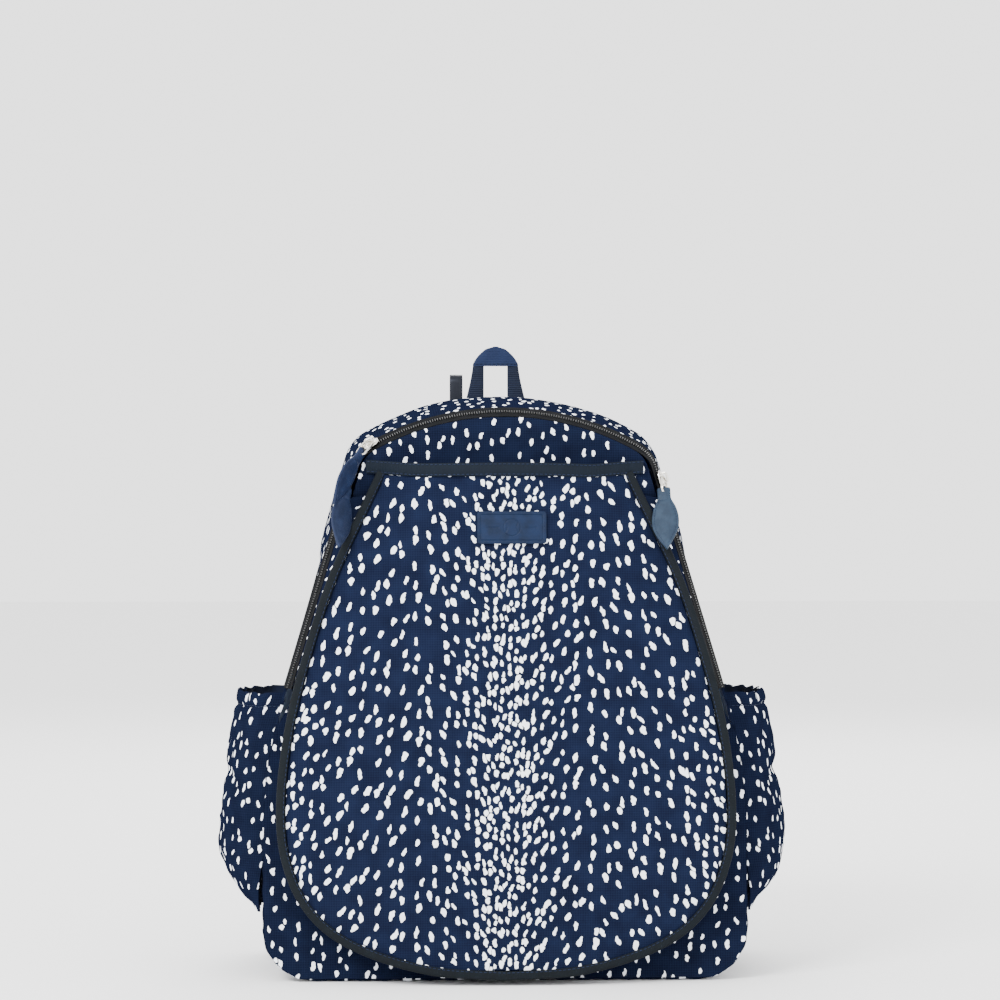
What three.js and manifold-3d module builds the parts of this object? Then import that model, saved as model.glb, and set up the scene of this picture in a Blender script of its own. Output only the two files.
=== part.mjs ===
// A racket backpack: a leaning racket pocket with a zipped front flap, a zipped main compartment behind it,
// two gathered side pockets, a hang loop, a fence hook and two padded shoulder straps.
// Millimetres. +X to the right of someone facing the front, +Y to the back, +Z up. The origin is under the base.
import * as THREE from "three";
import { mergeVertices } from "three/addons/utils/BufferGeometryUtils.js";
import Module from "manifold-3d";

const wasm = await Module();
wasm.setup();

// ---------------------------------------------------------------- driving dimensions
const GAP = 0.3; // air left between pieces that touch
const LEAN = THREE.MathUtils.degToRad(5.5); // the front leans back by this
const FRONT_Y = -72; // front plane at the floor
const BACK_Y = 88; // back seam
const BODY = { height: 426, halfWidth: 180, topRadius: 208, topTurn: 29, shoulderRadius: 30, sideTurn: 73.6,
  lowerRadius: 360, cornerRadius: 38 };
const SHELL = 2.5; // fabric, padding and lining of the body's walls
const BACK_RISE = 9; // the back edge stands this much higher than the zip
const CROWN = 6; // how far the gusset swells between its seams
const SIDE_PRESS = 42; // how far a can or a bottle presses the side panel in
const ZIP = { band: 13, topInset: 9.5, sideInset: 6, tape: 5, row: 1.3, tapeThick: 0.8, rowThick: 2.2 };
const FOLD = 214; // height of the flap's fold, at the lower ends of the side zips
const FOLD_DEPTH = 1.5; // the fold line lies this far in front of the front plane
const FOLD_ROOM = 0.9; // air on each side of the fold line
const FLAP_OPEN = THREE.MathUtils.degToRad(50);
const MOUTH = 370; // top edge of the racket face, under the mouth binding
const MOUTH_BAND = 10;
const MOUTH_RISE = 5; // the ends of the mouth stand higher than its middle
const FACE = { thick: 4, depth: 40, edgeDepth: 26, cornerDepth: 16 };
const INNER = { thick: 2.4, depth: 2.7, topDepth: 13.5 };
// Right half of the racket face's edge, from the bottom middle up to the mouth.
const TEAR = [[0, 5], [56, 9], [110, 26], [143, 51], [161, 88], [165, 132], [158, 190], [142, 252],
  [124, 304], [97, 363]];
const BINDING = { wide: 8, thick: 3 };
const LABEL = { x: 4, z: 332, wide: 51, high: 24, thick: 1.6 };
const POCKET = { bottom: 49, top: 210, back: 78, wall: 2, hem: 9 };
// Outer reach of a side pocket at heights above the floor.
const POCKET_REACH = [[49, 186], [60, 200], [75, 212], [93, 218], [112, 217], [143, 214], [173, 209.5],
  [210, 202]];
const BACK = { lining: 1.2, foam: 6, mesh: 2 };
const BASE_BOARD = 2;
const SLIDER = { wide: 9, long: 12, thick: 1.6, bail: 9, bailHigh: 5, bailWide: 2, wire: 1.5 };
const PULL = { wide: 20, long: 53, thick: 2.2, neck: 10, top: 4.2, clear: 1.4, holeWide: 7.6, holeHigh: 6.2,
  tilt: 27 };
const RING = { wide: 10, long: 16.5, wire: 1.3 };
const LOOP = { x: -2, window: 9.3, windowTop: 461, shoulder: 15.6, foot: 24, top: 476, bottom: 405, hinge: 438,
  thick: 2.6 };
const HOOK = { x: -33, wide: 10, thick: 2, bend: 7, top: 454, shank: 62, lip: 16 };
const SLEEVE = { wide: 13, deep: 5.6, bottom: 388, high: 34 };
const STRAP = { x: 62, footX: 78, wide: 62, endWide: 40, thick: 9, top: 384, end: 178, belly: 30, flare: 6 };
const BUCKLE = { wide: 40, high: 27, thick: 5, bar: 4, slot: 27, depth: 9 };
const WEBBING = { wide: 25, thick: 1.6, tail: 118, tailRise: 8, tabX: 150, tabZ: 44, lead: 4 };

// ---------------------------------------------------------------- materials
const paint = (color, roughness = 0.8, metalness = 0) => {
  return new THREE.MeshStandardMaterial({ color, roughness, metalness });
};
const SPOTTED = paint(0x2a3858);
const LINING = paint(0x8fa3bf);
const BINDING_NAVY = paint(0x24384c, 0.7);
const TAPE_BLACK = paint(0x1b2026, 0.75);
const COIL_BLACK = paint(0x14171b, 0.4);
const LEATHER = paint(0x4c6078, 0.5);
const METAL = paint(0xd8d6cc, 0.2, 1);
const WEB_NAVY = paint(0x2a3550, 0.85);
const MESH_NAVY = paint(0x232e48, 0.95);
const FOAM = paint(0xd9d9d2, 0.95);
const BOARD = paint(0x30343a, 0.6);
const PLASTIC = paint(0x161a22, 0.45);

// ---------------------------------------------------------------- small helpers
const { lerp, smoothstep, degToRad } = THREE.MathUtils;
const V = (x, y, z) => new THREE.Vector3(x, y, z);

function geometryOf(points, faces) {
  const position = new Float32Array(points.length * 3);
  points.forEach((p, i) => p.toArray(position, i * 3));
  let volume = 0;
  for (const [a, b, c] of faces) volume += points[a].dot(V(0, 0, 0).crossVectors(points[b], points[c]));
  const index = (volume < 0 ? faces.map(([a, b, c]) => [a, c, b]) : faces).flat();
  const geometry = new THREE.BufferGeometry();
  geometry.setAttribute("position", new THREE.BufferAttribute(position, 3));
  geometry.setIndex(index);
  geometry.computeVertexNormals();
  return geometry;
}

// A closed solid between an outer and an inner surface, each a function of u and v from 0 to 1.
function patchSolid(outer, inner, nu, nv) {
  const points = [];
  const faces = [];
  for (const surface of [outer, inner])
    for (let i = 0; i <= nu; i++)
      for (let j = 0; j <= nv; j++) points.push(surface(i / nu, j / nv));
  const at = (side, i, j) => (side * (nu + 1) + i) * (nv + 1) + j;
  const quad = (a, b, c, d) => faces.push([a, b, c], [a, c, d]);
  for (let i = 0; i < nu; i++)
    for (let j = 0; j < nv; j++) {
      quad(at(0, i, j), at(0, i + 1, j), at(0, i + 1, j + 1), at(0, i, j + 1));
      quad(at(1, i, j), at(1, i, j + 1), at(1, i + 1, j + 1), at(1, i + 1, j));
    }
  for (let i = 0; i < nu; i++) {
    quad(at(0, i, 0), at(1, i, 0), at(1, i + 1, 0), at(0, i + 1, 0));
    quad(at(0, i, nv), at(0, i + 1, nv), at(1, i + 1, nv), at(1, i, nv));
  }
  for (let j = 0; j < nv; j++) {
    quad(at(0, 0, j), at(0, 0, j + 1), at(1, 0, j + 1), at(1, 0, j));
    quad(at(0, nu, j), at(1, nu, j), at(1, nu, j + 1), at(0, nu, j + 1));
  }
  return geometryOf(points, faces);
}

// A closed solid through a row of convex rings, each with the same number of points.
function ringSolid(rings) {
  const count = rings[0].length;
  const faces = [];
  for (let i = 0; i + 1 < rings.length; i++)
    for (let k = 0; k < count; k++) {
      const [a, b] = [i * count + k, i * count + ((k + 1) % count)];
      faces.push([a, b, b + count], [a, b + count, a + count]);
    }
  const last = (rings.length - 1) * count;
  for (let k = 1; k + 1 < count; k++) faces.push([0, k + 1, k], [last, last + k, last + k + 1]);
  return geometryOf(rings.flat(), faces);
}

function toSolid(geometry) {
  const bare = geometry.clone();
  bare.deleteAttribute("normal");
  bare.deleteAttribute("uv");
  const merged = mergeVertices(bare, 1e-4);
  return new wasm.Manifold(new wasm.Mesh({
    numProp: 3,
    vertProperties: merged.attributes.position.array,
    triVerts: new Uint32Array(merged.index.array),
  }));
}

function fromSolid(solid) {
  const mesh = solid.getMesh();
  const geometry = new THREE.BufferGeometry();
  geometry.setAttribute("position", new THREE.BufferAttribute(new Float32Array(mesh.vertProperties), 3));
  geometry.setIndex([...mesh.triVerts]);
  geometry.computeVertexNormals();
  return geometry;
}

function piece(parent, name, geometry, material, place) {
  const mesh = new THREE.Mesh(geometry, material);
  mesh.name = name;
  if (place) mesh.position.copy(place);
  parent.add(mesh);
  return mesh;
}

// A flat plate: a shape in X and Z, from y to y + thick.
function plate(shape, y, thick, curveSegments = 8) {
  const geometry = new THREE.ExtrudeGeometry(shape, { depth: thick, bevelEnabled: false, curveSegments });
  return geometry.rotateX(Math.PI / 2).translate(0, y + thick, 0);
}

function roundedShape(wide, high, radius) {
  const shape = new THREE.Shape();
  const [x, z] = [wide / 2 - radius, high / 2 - radius];
  shape.absarc(x, z, radius, 0, Math.PI / 2);
  shape.absarc(-x, z, radius, Math.PI / 2, Math.PI);
  shape.absarc(-x, -z, radius, Math.PI, 1.5 * Math.PI);
  shape.absarc(x, -z, radius, 1.5 * Math.PI, 2 * Math.PI);
  return shape;
}

// ---------------------------------------------------------------- body outline
// Right half of the outline, clockwise from the top middle. Heading 0 runs to the right, and 90 runs down.
function halfOutline() {
  const path = new THREE.Path();
  const heading = (degrees) => new THREE.Vector2(Math.cos(degToRad(degrees)), -Math.sin(degToRad(degrees)));
  const pen = new THREE.Vector2(0, BODY.height);
  path.moveTo(pen.x, pen.y);
  const ends = [];
  const turn = (radius, from, to) => {
    const side = new THREE.Vector2(-Math.sin(degToRad(from)), -Math.cos(degToRad(from)));
    const centre = pen.clone().addScaledVector(side, radius);
    path.absarc(centre.x, centre.y, radius, degToRad(90 - from), degToRad(90 - to), true);
    pen.set(centre.x + radius * Math.sin(degToRad(to)), centre.y + radius * Math.cos(degToRad(to)));
    ends.push(path.getLength());
  };
  const run = (degrees, length) => {
    pen.addScaledVector(heading(degrees), length);
    path.lineTo(pen.x, pen.y);
    ends.push(path.getLength());
  };
  turn(BODY.topRadius, 0, BODY.topTurn);
  turn(BODY.shoulderRadius, BODY.topTurn, BODY.sideTurn);
  const side = heading(BODY.sideTurn);
  const lowerReach = BODY.lowerRadius * (1 - Math.sin(degToRad(BODY.sideTurn)));
  run(BODY.sideTurn, (BODY.halfWidth - pen.x - lowerReach) / side.x);
  turn(BODY.lowerRadius, BODY.sideTurn, 90);
  run(90, pen.y - BODY.cornerRadius);
  turn(BODY.cornerRadius, 90, 180);
  run(180, pen.x);
  return { path, ends };
}

const { path: half, ends } = halfOutline();
const halfLength = half.getLength();
// How far along the half outline its top, shoulder and lower wall end, from 0 at the top to 1 at the bottom.
const [TOP_END, SHOULDER_END, , , WALL_END] = ends.map((length) => length / halfLength);
const SEAM = GAP / 2 / halfLength;

// Point s of the outline, from -1 at the bottom over the left, 0 at the top middle, to 1 at the bottom and on.
function edge(round) {
  const s = round > 1 ? round - 2 : round;
  const u = Math.min(Math.abs(s), 1);
  const p = half.getPoint(u);
  const t = half.getTangent(u);
  const sign = s < 0 ? -1 : 1;
  return { x: sign * p.x, w: p.y, nx: sign * -t.y, nw: t.x };
}

// Where the outline, moved outward by offset, is at height w.
function halfWidthAt(w, offset) {
  let low = 0;
  let high = WALL_END;
  for (let n = 0; n < 40; n++) {
    const middle = (low + high) / 2;
    const e = edge(middle);
    if (e.w + e.nw * offset > w) low = middle;
    else high = middle;
  }
  const e = edge(high);
  return e.x + e.nx * offset;
}

// The share of the outline at which its side is at height w.
function shareAt(w) {
  let low = 0;
  let high = WALL_END;
  for (let n = 0; n < 40; n++) {
    const middle = (low + high) / 2;
    if (edge(middle).w > w) low = middle;
    else high = middle;
  }
  return high;
}

const bag = new THREE.Group();
// The front group's own frame is the leaning front plane: x across, y back from it, z up along it.
const front = new THREE.Group();
front.position.y = FRONT_Y;
front.rotation.x = -LEAN;
bag.add(front);

// ---------------------------------------------------------------- body walls
// The side panel is pressed in behind a side pocket.
const pressAt = (w) => SIDE_PRESS * smoothstep(w, POCKET.bottom, 110) * (1 - smoothstep(w, 215, 330));

function wall(s, v, inset) {
  const e = edge(s);
  const loose = 1 - smoothstep(Math.abs(s), WALL_END - 0.06, WALL_END);
  const swell = CROWN * Math.sin(Math.PI * v) * loose;
  const press = pressAt(e.w) * Math.sin(Math.PI * v) ** 1.5 * Math.abs(e.nx);
  const offset = swell - press - inset;
  const [x, w] = [e.x + e.nx * offset, e.w + e.nw * offset];
  const rise = v * BACK_RISE * smoothstep(w, 250, BODY.height);
  return V(x, lerp(FRONT_Y + w * Math.sin(LEAN), BACK_Y, v), w * Math.cos(LEAN) + rise);
}

function wallPanel(name, from, to, ns, nv, material = SPOTTED) {
  const s = (u) => lerp(from + SEAM, to - SEAM, u);
  const outer = (u, v) => wall(s(u), v, 0);
  const inner = (u, v) => wall(s(u), v, SHELL);
  piece(bag, name, patchSolid(outer, inner, ns, nv), material);
}

wallPanel("top_gusset", -SHOULDER_END, SHOULDER_END, 26, 4);
wallPanel("side_panel_left", -WALL_END, -SHOULDER_END, 16, 10);
wallPanel("side_panel_right", SHOULDER_END, WALL_END, 16, 10);
wallPanel("base_panel", WALL_END, 2 - WALL_END, 16, 2);

// Stiffening board inside the base.
{
  const wide = 2 * (BODY.halfWidth - BODY.cornerRadius);
  const deep = BACK_Y - FRONT_Y - 24;
  const board = new THREE.BoxGeometry(wide, deep, BASE_BOARD);
  piece(bag, "base_board", board, BOARD, V(0, (FRONT_Y + BACK_Y) / 2, SHELL + GAP + BASE_BOARD / 2 + 0.6));
}

// ---------------------------------------------------------------- back
function backShape(inset) {
  const points = [];
  const steps = 72;
  for (let i = 0; i < steps; i++) {
    const s = -1 + (2 * i) / steps;
    const e = edge(s);
    const [x, w] = [e.x - e.nx * inset, e.w - e.nw * inset];
    points.push(new THREE.Vector2(x, w * Math.cos(LEAN) + BACK_RISE * smoothstep(w, 250, BODY.height)));
  }
  return new THREE.Shape(points);
}
let backFace = BACK_Y + GAP;
piece(bag, "back_lining", plate(backShape(0), backFace, BACK.lining), LINING);
backFace += BACK.lining + GAP;
piece(bag, "back_foam", plate(backShape(3), backFace, BACK.foam), FOAM);
backFace += BACK.foam + GAP;
piece(bag, "back_panel", plate(backShape(0), backFace, BACK.mesh), MESH_NAVY);
backFace += BACK.mesh;

// Binding over the back seam, from one lower corner over the top to the other.
{
  const rings = [];
  const steps = 60;
  for (let i = 0; i <= steps; i++) {
    const e = edge(lerp(-WALL_END, WALL_END, i / steps));
    const ring = [];
    const corners = [[0.6, BACK_Y + 0.5], [2.6, BACK_Y + 1.5], [2.6, backFace - 1], [0.6, backFace]];
    for (const [offset, y] of corners) {
      const [x, w] = [e.x + e.nx * offset, e.w + e.nw * offset];
      ring.push(V(x, y, w * Math.cos(LEAN) + BACK_RISE * smoothstep(w, 250, BODY.height)));
    }
    rings.push(ring);
  }
  piece(bag, "back_seam_binding", ringSolid(rings), BINDING_NAVY);
}

// Slip pocket sewn to the lining inside the main compartment.
{
  const pocket = new THREE.Shape(roundedShape(220, 190, 14).getPoints(4));
  piece(bag, "inner_slip_pocket", plate(pocket, 0, 1.4), LINING, V(0, BACK_Y - GAP - 1.4, 150));
}

// ---------------------------------------------------------------- main compartment's front, inside the racket pocket
function innerFront(name, rowHeight, rows) {
  const forward = (w) => smoothstep(w, 335, 388);
  const reach = (w) => {
    const offset = w < 300 ? lerp(-1, -7, smoothstep(w, FOLD - 34, FOLD - 8)) : lerp(-7, -14, forward(w));
    const corner = Math.max(0, BODY.cornerRadius - w);
    const round = BODY.cornerRadius - Math.sqrt(BODY.cornerRadius ** 2 - corner ** 2);
    return w < BODY.cornerRadius ? BODY.halfWidth - 1 - round : halfWidthAt(w, offset);
  };
  const surface = (depth) => (u, v) => {
    const w = rowHeight(v);
    const y = -lerp(depth, depth + INNER.topDepth - INNER.depth, forward(w));
    return V((2 * u - 1) * reach(w), y, w);
  };
  piece(front, name, patchSolid(surface(INNER.depth), surface(INNER.depth - INNER.thick), 12, rows), SPOTTED);
}
innerFront("inner_front_lower", (v) => lerp(2, FOLD - FOLD_ROOM, v ** 1.5), 10);
innerFront("inner_front_upper", (v) => lerp(FOLD + FOLD_ROOM, BODY.height - 12, Math.sin((v * Math.PI) / 2)), 14);

// ---------------------------------------------------------------- zips
// A point on the zip's band: t across it from the body's edge, h out of it.
function band(s, t, h) {
  const e = edge(s);
  const inset = lerp(ZIP.topInset, ZIP.sideInset, smoothstep(Math.abs(s), TOP_END, SHOULDER_END));
  const length = Math.hypot(inset, ZIP.band);
  const offset = (-inset * t + ZIP.band * h) / length;
  const y = (-ZIP.band * t - inset * h) / length;
  return V(e.x + e.nx * offset, y, e.w + e.nw * offset);
}

function zipStrip(name, from, to, t, wide, thick, steps, material) {
  const s = (u) => lerp(from + SEAM, to - SEAM, u);
  const face = (h) => (u, v) => band(s(u), t + v * wide, h);
  piece(front, name, patchSolid(face(thick / 2), face(-thick / 2), steps, 1), material);
}

function zip(name, from, to, steps) {
  const coil = ZIP.tape + 2 * GAP;
  zipStrip(`${name}_outer_tape`, from, to, GAP, ZIP.tape, ZIP.tapeThick, steps, TAPE_BLACK);
  zipStrip(`${name}_outer_coil`, from, to, coil, ZIP.row, ZIP.rowThick, steps, COIL_BLACK);
  zipStrip(`${name}_inner_coil`, from, to, coil + ZIP.row + GAP, ZIP.row, ZIP.rowThick, steps, COIL_BLACK);
  const inner = coil + 2 * ZIP.row + 2 * GAP;
  zipStrip(`${name}_inner_tape`, from, to, inner, ZIP.tape, ZIP.tapeThick, steps, TAPE_BLACK);
}
const ZIP_IN = 2 * ZIP.tape + 2 * ZIP.row + 4 * GAP; // how far across the band the flap's tape ends
const SIDE_ZIP_END = shareAt(FOLD + 2);
zip("top_zip", -SHOULDER_END, SHOULDER_END, 30);
zip("left_zip", -SIDE_ZIP_END, -SHOULDER_END, 4);
zip("right_zip", SHOULDER_END, SIDE_ZIP_END, 4);
const COIL_MIDDLE = ZIP.tape + 2 * GAP + ZIP.row + GAP / 2;

// ---------------------------------------------------------------- racket face
const tear = new THREE.SplineCurve(TEAR.map(([x, w]) => new THREE.Vector2(x, w)));
const tearPoints = tear.getSpacedPoints(240);
const TEAR_EDGE = BINDING.wide / 2; // the face ends this far inside the seam line
const facePoints = tearPoints.map((p, i) => {
  const t = tear.getTangentAt(Math.max(i / (tearPoints.length - 1), 1e-3));
  return new THREE.Vector2(Math.max(p.x - t.y * TEAR_EDGE, 0), p.y + t.x * TEAR_EDGE);
});
function widthAt(points, w) {
  const last = points[points.length - 1];
  if (last.y < w) return last.x;
  const i = Math.max(1, points.findIndex((p) => p.y >= w));
  const [a, b] = [points[i - 1], points[i]];
  return lerp(a.x, b.x, THREE.MathUtils.clamp((w - a.y) / Math.max(b.y - a.y, 1e-6), 0, 1));
}
const tearWidthAt = (w) => widthAt(tearPoints, w);
const faceWidthAt = (w) => widthAt(facePoints, w);
const edgeDepth = (w) => lerp(FACE.edgeDepth, FACE.cornerDepth, smoothstep(w, 285, MOUTH));

function faceDepth(x, w, reach) {
  const share = Math.min(1, Math.abs(x / reach));
  const full = smoothstep(w, TEAR[0][1], 85);
  return edgeDepth(w) + (FACE.depth - edgeDepth(w)) * (1 - share ** 2.4) * full;
}

const mouthAt = (x) => MOUTH + MOUTH_RISE * smoothstep(Math.abs(x), 55, 112);

function racketFace(name, low, high, rows) {
  const surface = (inset) => (u, v) => {
    const shape = low < 20 ? 1 - Math.cos((v * Math.PI) / 2) : v;
    let w = lerp(low, high, shape);
    const rise = high === MOUTH ? v : 0;
    const reach = faceWidthAt(w + (mouthAt(faceWidthAt(w)) - MOUTH) * rise);
    const x = (2 * u - 1) * reach;
    w += (mouthAt(x) - MOUTH) * rise;
    return V(x, -faceDepth(x, w, reach) + inset, w);
  };
  piece(front, name, patchSolid(surface(0), surface(FACE.thick), 16, rows), SPOTTED);
}
const vee = (depth) => (depth - FOLD_DEPTH) * Math.tan(FLAP_OPEN / 2) + 0.6; // room on each side of the fold
const FACE_VEE = vee(FACE.depth);
racketFace("racket_face_lower", facePoints[0].y + 1, FOLD - FACE_VEE, 12);
racketFace("racket_face_fold", FOLD - FACE_VEE + GAP, FOLD + FACE_VEE - GAP, 2);
racketFace("racket_face_upper", FOLD + FACE_VEE, MOUTH, 8);

// Side walls of the racket pocket: from the face's edge back to the zip, or to the body's front below the zips.
function tearSkirt(name, sign) {
  const low = (t) => FOLD + vee(lerp(FACE.edgeDepth, ZIP.band, t));
  const surface = (thick) => (u, v) => {
    const w = lerp(low(v), MOUTH - 11, u);
    const e = band(shareAt(w), ZIP_IN + 2.4, 0);
    const [x0, y0] = [tearWidthAt(w) + 2, -edgeDepth(w) + 2.2];
    return V(sign * (lerp(x0, e.x - 0.6, v) - thick * 0.7), lerp(y0, e.y, v) + thick * 0.7, w);
  };
  piece(front, name, patchSolid(surface(0), surface(1.6), 8, 2), SPOTTED);
}
tearSkirt("racket_skirt_left", -1);
tearSkirt("racket_skirt_right", 1);

// Points along the face's edge with their outward normals, from the left at height `high` round the bottom to the right.
function tearRun(high, steps) {
  const top = tearPoints.findIndex((p) => p.y >= high) / (tearPoints.length - 1);
  const points = [];
  for (let i = 0; i <= steps; i++) {
    const u = lerp(-top, top, i / steps);
    const p = tear.getPointAt(Math.abs(u));
    const t = tear.getTangentAt(Math.max(Math.abs(u), 1e-3));
    const sign = u < 0 ? -1 : 1;
    points.push({ x: sign * p.x, w: p.y, nx: sign * t.y, nw: -t.x });
  }
  return points;
}

{
  const steps = 44;
  const run = tearRun(FOLD - vee(FACE.edgeDepth), steps);
  const surface = (thick) => (u, v) => {
    const p = run[Math.round(u * steps)];
    const offset = lerp(2, 4.5, v) - thick;
    return V(p.x + p.nx * offset, lerp(-FACE.edgeDepth + 2.2, -INNER.depth - GAP, v), Math.max(p.w + p.nw * offset, 0.6));
  };
  piece(front, "racket_skirt_lower", patchSolid(surface(0), surface(1.6), steps, 2), SPOTTED);
}

// Binding over the seam between the face and its side walls.
function bindingRing(p, depth) {
  const [half, thick] = [BINDING.wide / 2, BINDING.thick];
  const corners = [[-half + 1.4, -0.4], [-half + 1.8, -thick], [half - 1.5, -thick], [half, -thick / 2], [half, 1.6],
    [0.5, 1.6]];
  return corners.map(([a, b]) => V(p.x + p.nx * a, -depth + b, p.w + p.nw * a));
}

{
  const run = tearRun(FOLD - vee(FACE.edgeDepth + BINDING.thick), 48);
  piece(front, "edge_binding_lower", ringSolid(run.map((p) => bindingRing(p, FACE.edgeDepth))), BINDING_NAVY);
  for (const [side, sign] of [["left", -1], ["right", 1]]) {
    const rings = [];
    const steps = 10;
    for (let i = 0; i <= steps; i++) {
      const w = lerp(FOLD + vee(FACE.edgeDepth + BINDING.thick), MOUTH - 6, i / steps);
      const slope = (tearWidthAt(w + 4) - tearWidthAt(w - 4)) / 8;
      const length = Math.hypot(1, slope);
      const p = { x: sign * tearWidthAt(w), w, nx: sign / length, nw: -slope / length };
      rings.push(bindingRing(p, edgeDepth(w)));
    }
    piece(front, `edge_binding_${side}`, ringSolid(rings), BINDING_NAVY);
  }
}

// Binding along the mouth, from one side zip to the other.
{
  const reach = band(shareAt(MOUTH + MOUTH_RISE + MOUTH_BAND + 6), ZIP_IN + 2.4, 0).x - 1;
  const inner = faceWidthAt(MOUTH);
  const depthAt = (x) => {
    if (Math.abs(x) <= inner) return faceDepth(x, MOUTH, inner);
    return lerp(FACE.cornerDepth, ZIP.band + 1, smoothstep(Math.abs(x), inner, reach));
  };
  const surface = (out) => (u, v) => {
    const x = lerp(-reach, reach, u);
    return V(x, -depthAt(x) - out, mouthAt(x) + GAP + v * MOUTH_BAND);
  };
  piece(front, "mouth_binding", patchSolid(surface(1), surface(-1.6), 30, 1), BINDING_NAVY);
}

// Leather label.
{
  const shape = roundedShape(LABEL.wide, LABEL.high, 2);
  const y = -FACE.depth - GAP - LABEL.thick;
  piece(front, "label", plate(shape, 0, LABEL.thick, 3), LEATHER, V(LABEL.x, y, LABEL.z));
}

// ---------------------------------------------------------------- zip sliders and pulls
// Slider body, its length along z and its top facing +y of its own frame: a plate with a bail for the ring.
function sliderGeometry() {
  const body = new THREE.Shape();
  const [halfLong, halfWide] = [SLIDER.long / 2, SLIDER.wide / 2];
  body.moveTo(-halfWide, -halfLong + 2);
  body.lineTo(-halfWide + 1.6, -halfLong);
  body.lineTo(halfWide - 1.6, -halfLong);
  body.lineTo(halfWide, -halfLong + 2);
  body.lineTo(halfWide - 0.4, halfLong - 3);
  body.lineTo(halfWide - 2.4, halfLong);
  body.lineTo(-halfWide + 2.4, halfLong);
  body.lineTo(-halfWide + 0.4, halfLong - 3);
  const base = toSolid(plate(body, 0, SLIDER.thick));
  const arch = new THREE.Shape();
  const [reach, high, wire] = [SLIDER.bail / 2, SLIDER.bailHigh, SLIDER.wire];
  arch.moveTo(-reach, 0);
  arch.lineTo(-reach + 0.8, high - 0.8);
  arch.lineTo(-reach + 2, high);
  arch.lineTo(reach - 2, high);
  arch.lineTo(reach - 0.8, high - 0.8);
  arch.lineTo(reach, 0);
  arch.lineTo(reach - wire, 0);
  arch.lineTo(reach - wire - 0.7, high - wire);
  arch.lineTo(-reach + wire + 0.7, high - wire);
  arch.lineTo(-reach + wire, 0);
  const bail = new THREE.ExtrudeGeometry(arch, { depth: SLIDER.bailWide, bevelEnabled: false });
  bail.translate(0, 0, -SLIDER.bailWide / 2).rotateY(-Math.PI / 2).translate(0, SLIDER.thick - 0.2, 0);
  return fromSolid(base.add(toSolid(bail)));
}

// Wire ring in the Y and Z plane, hanging down from its top wire at the origin.
function ringGeometry() {
  const outer = roundedShape(RING.wide, RING.long, RING.wide / 2 - 0.5);
  const hole = roundedShape(RING.wide - 2 * RING.wire, RING.long - 2 * RING.wire, RING.wide / 2 - RING.wire - 0.5);
  outer.holes.push(new THREE.Path(hole.getPoints(4)));
  const ring = plate(outer, -RING.wire / 2, RING.wire, 4);
  return ring.rotateZ(Math.PI / 2).translate(0, 0, (RING.wire - RING.long) / 2);
}

// Leaf-shaped leather pull hanging down from its ring hole at the origin.
function pullGeometry() {
  const shape = new THREE.Shape();
  const [neck, half, top] = [PULL.neck / 2, PULL.wide / 2, PULL.top];
  shape.moveTo(neck, top);
  shape.lineTo(-neck, top);
  shape.lineTo(-neck, top - 8);
  shape.bezierCurveTo(-half * 0.95, -16, -half * 1.12, -27, -half * 0.86, -34);
  shape.lineTo(0, top - PULL.long);
  shape.lineTo(half * 0.86, -34);
  shape.bezierCurveTo(half * 1.12, -27, half * 0.95, -16, neck, top - 8);
  const hole = new THREE.Path();
  hole.absellipse(0, 0, PULL.holeWide / 2, PULL.holeHigh / 2, 0, 2 * Math.PI, true);
  shape.holes.push(hole);
  return plate(shape, -PULL.thick / 2, PULL.thick, 6);
}

// A slider on the zip at share s. Its ring leans to the front by `forward`, and the leather leaf hangs from the
// ring, turned by `swing` to the side and by `turn` about its own length.
function zipSlider(name, s, forward, swing, turn) {
  const at = band(s, COIL_MIDDLE, ZIP.rowThick / 2 + GAP);
  const out = band(s, COIL_MIDDLE, 1).sub(band(s, COIL_MIDDLE, 0)).normalize();
  const inward = band(s, COIL_MIDDLE + 1, 0).sub(band(s, COIL_MIDDLE, 0)).normalize();
  const along = V(0, 0, 0).crossVectors(out, inward);
  if (along.z < 0) along.negate();
  const across = V(0, 0, 0).crossVectors(out, along);
  const slider = new THREE.Group();
  slider.position.copy(at);
  slider.quaternion.setFromRotationMatrix(new THREE.Matrix4().makeBasis(across, out, along));
  front.add(slider);
  piece(slider, `${name}_slider`, sliderGeometry(), METAL);

  const bail = at.clone().addScaledVector(out, SLIDER.thick - 0.2 + (SLIDER.bailHigh - SLIDER.wire) / 2);
  const lean = degToRad(forward);
  const hang = along.clone().multiplyScalar(-Math.cos(lean)).addScaledVector(inward, Math.sin(lean));
  const up = hang.clone().negate();
  const wire = V(0, 0, 0).crossVectors(up, out);
  const ring = new THREE.Group();
  ring.position.copy(bail);
  ring.quaternion.setFromRotationMatrix(new THREE.Matrix4().makeBasis(out, wire, up));
  front.add(ring);
  piece(ring, `${name}_pull_ring`, ringGeometry(), METAL);

  const leaf = new THREE.Group();
  leaf.position.copy(bail).addScaledVector(hang, RING.long - RING.wire).addScaledVector(inward, PULL.clear);
  leaf.rotation.set(degToRad(-PULL.tilt), degToRad(swing), degToRad(turn), "YXZ");
  front.add(leaf);
  piece(leaf, `${name}_pull`, pullGeometry(), LEATHER);
}
zipSlider("main", -TOP_END, 40, 27, 58);
zipSlider("left", -shareAt(373), 38, 7, 42);
zipSlider("right", shareAt(372), 38, 0, -12);

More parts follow.
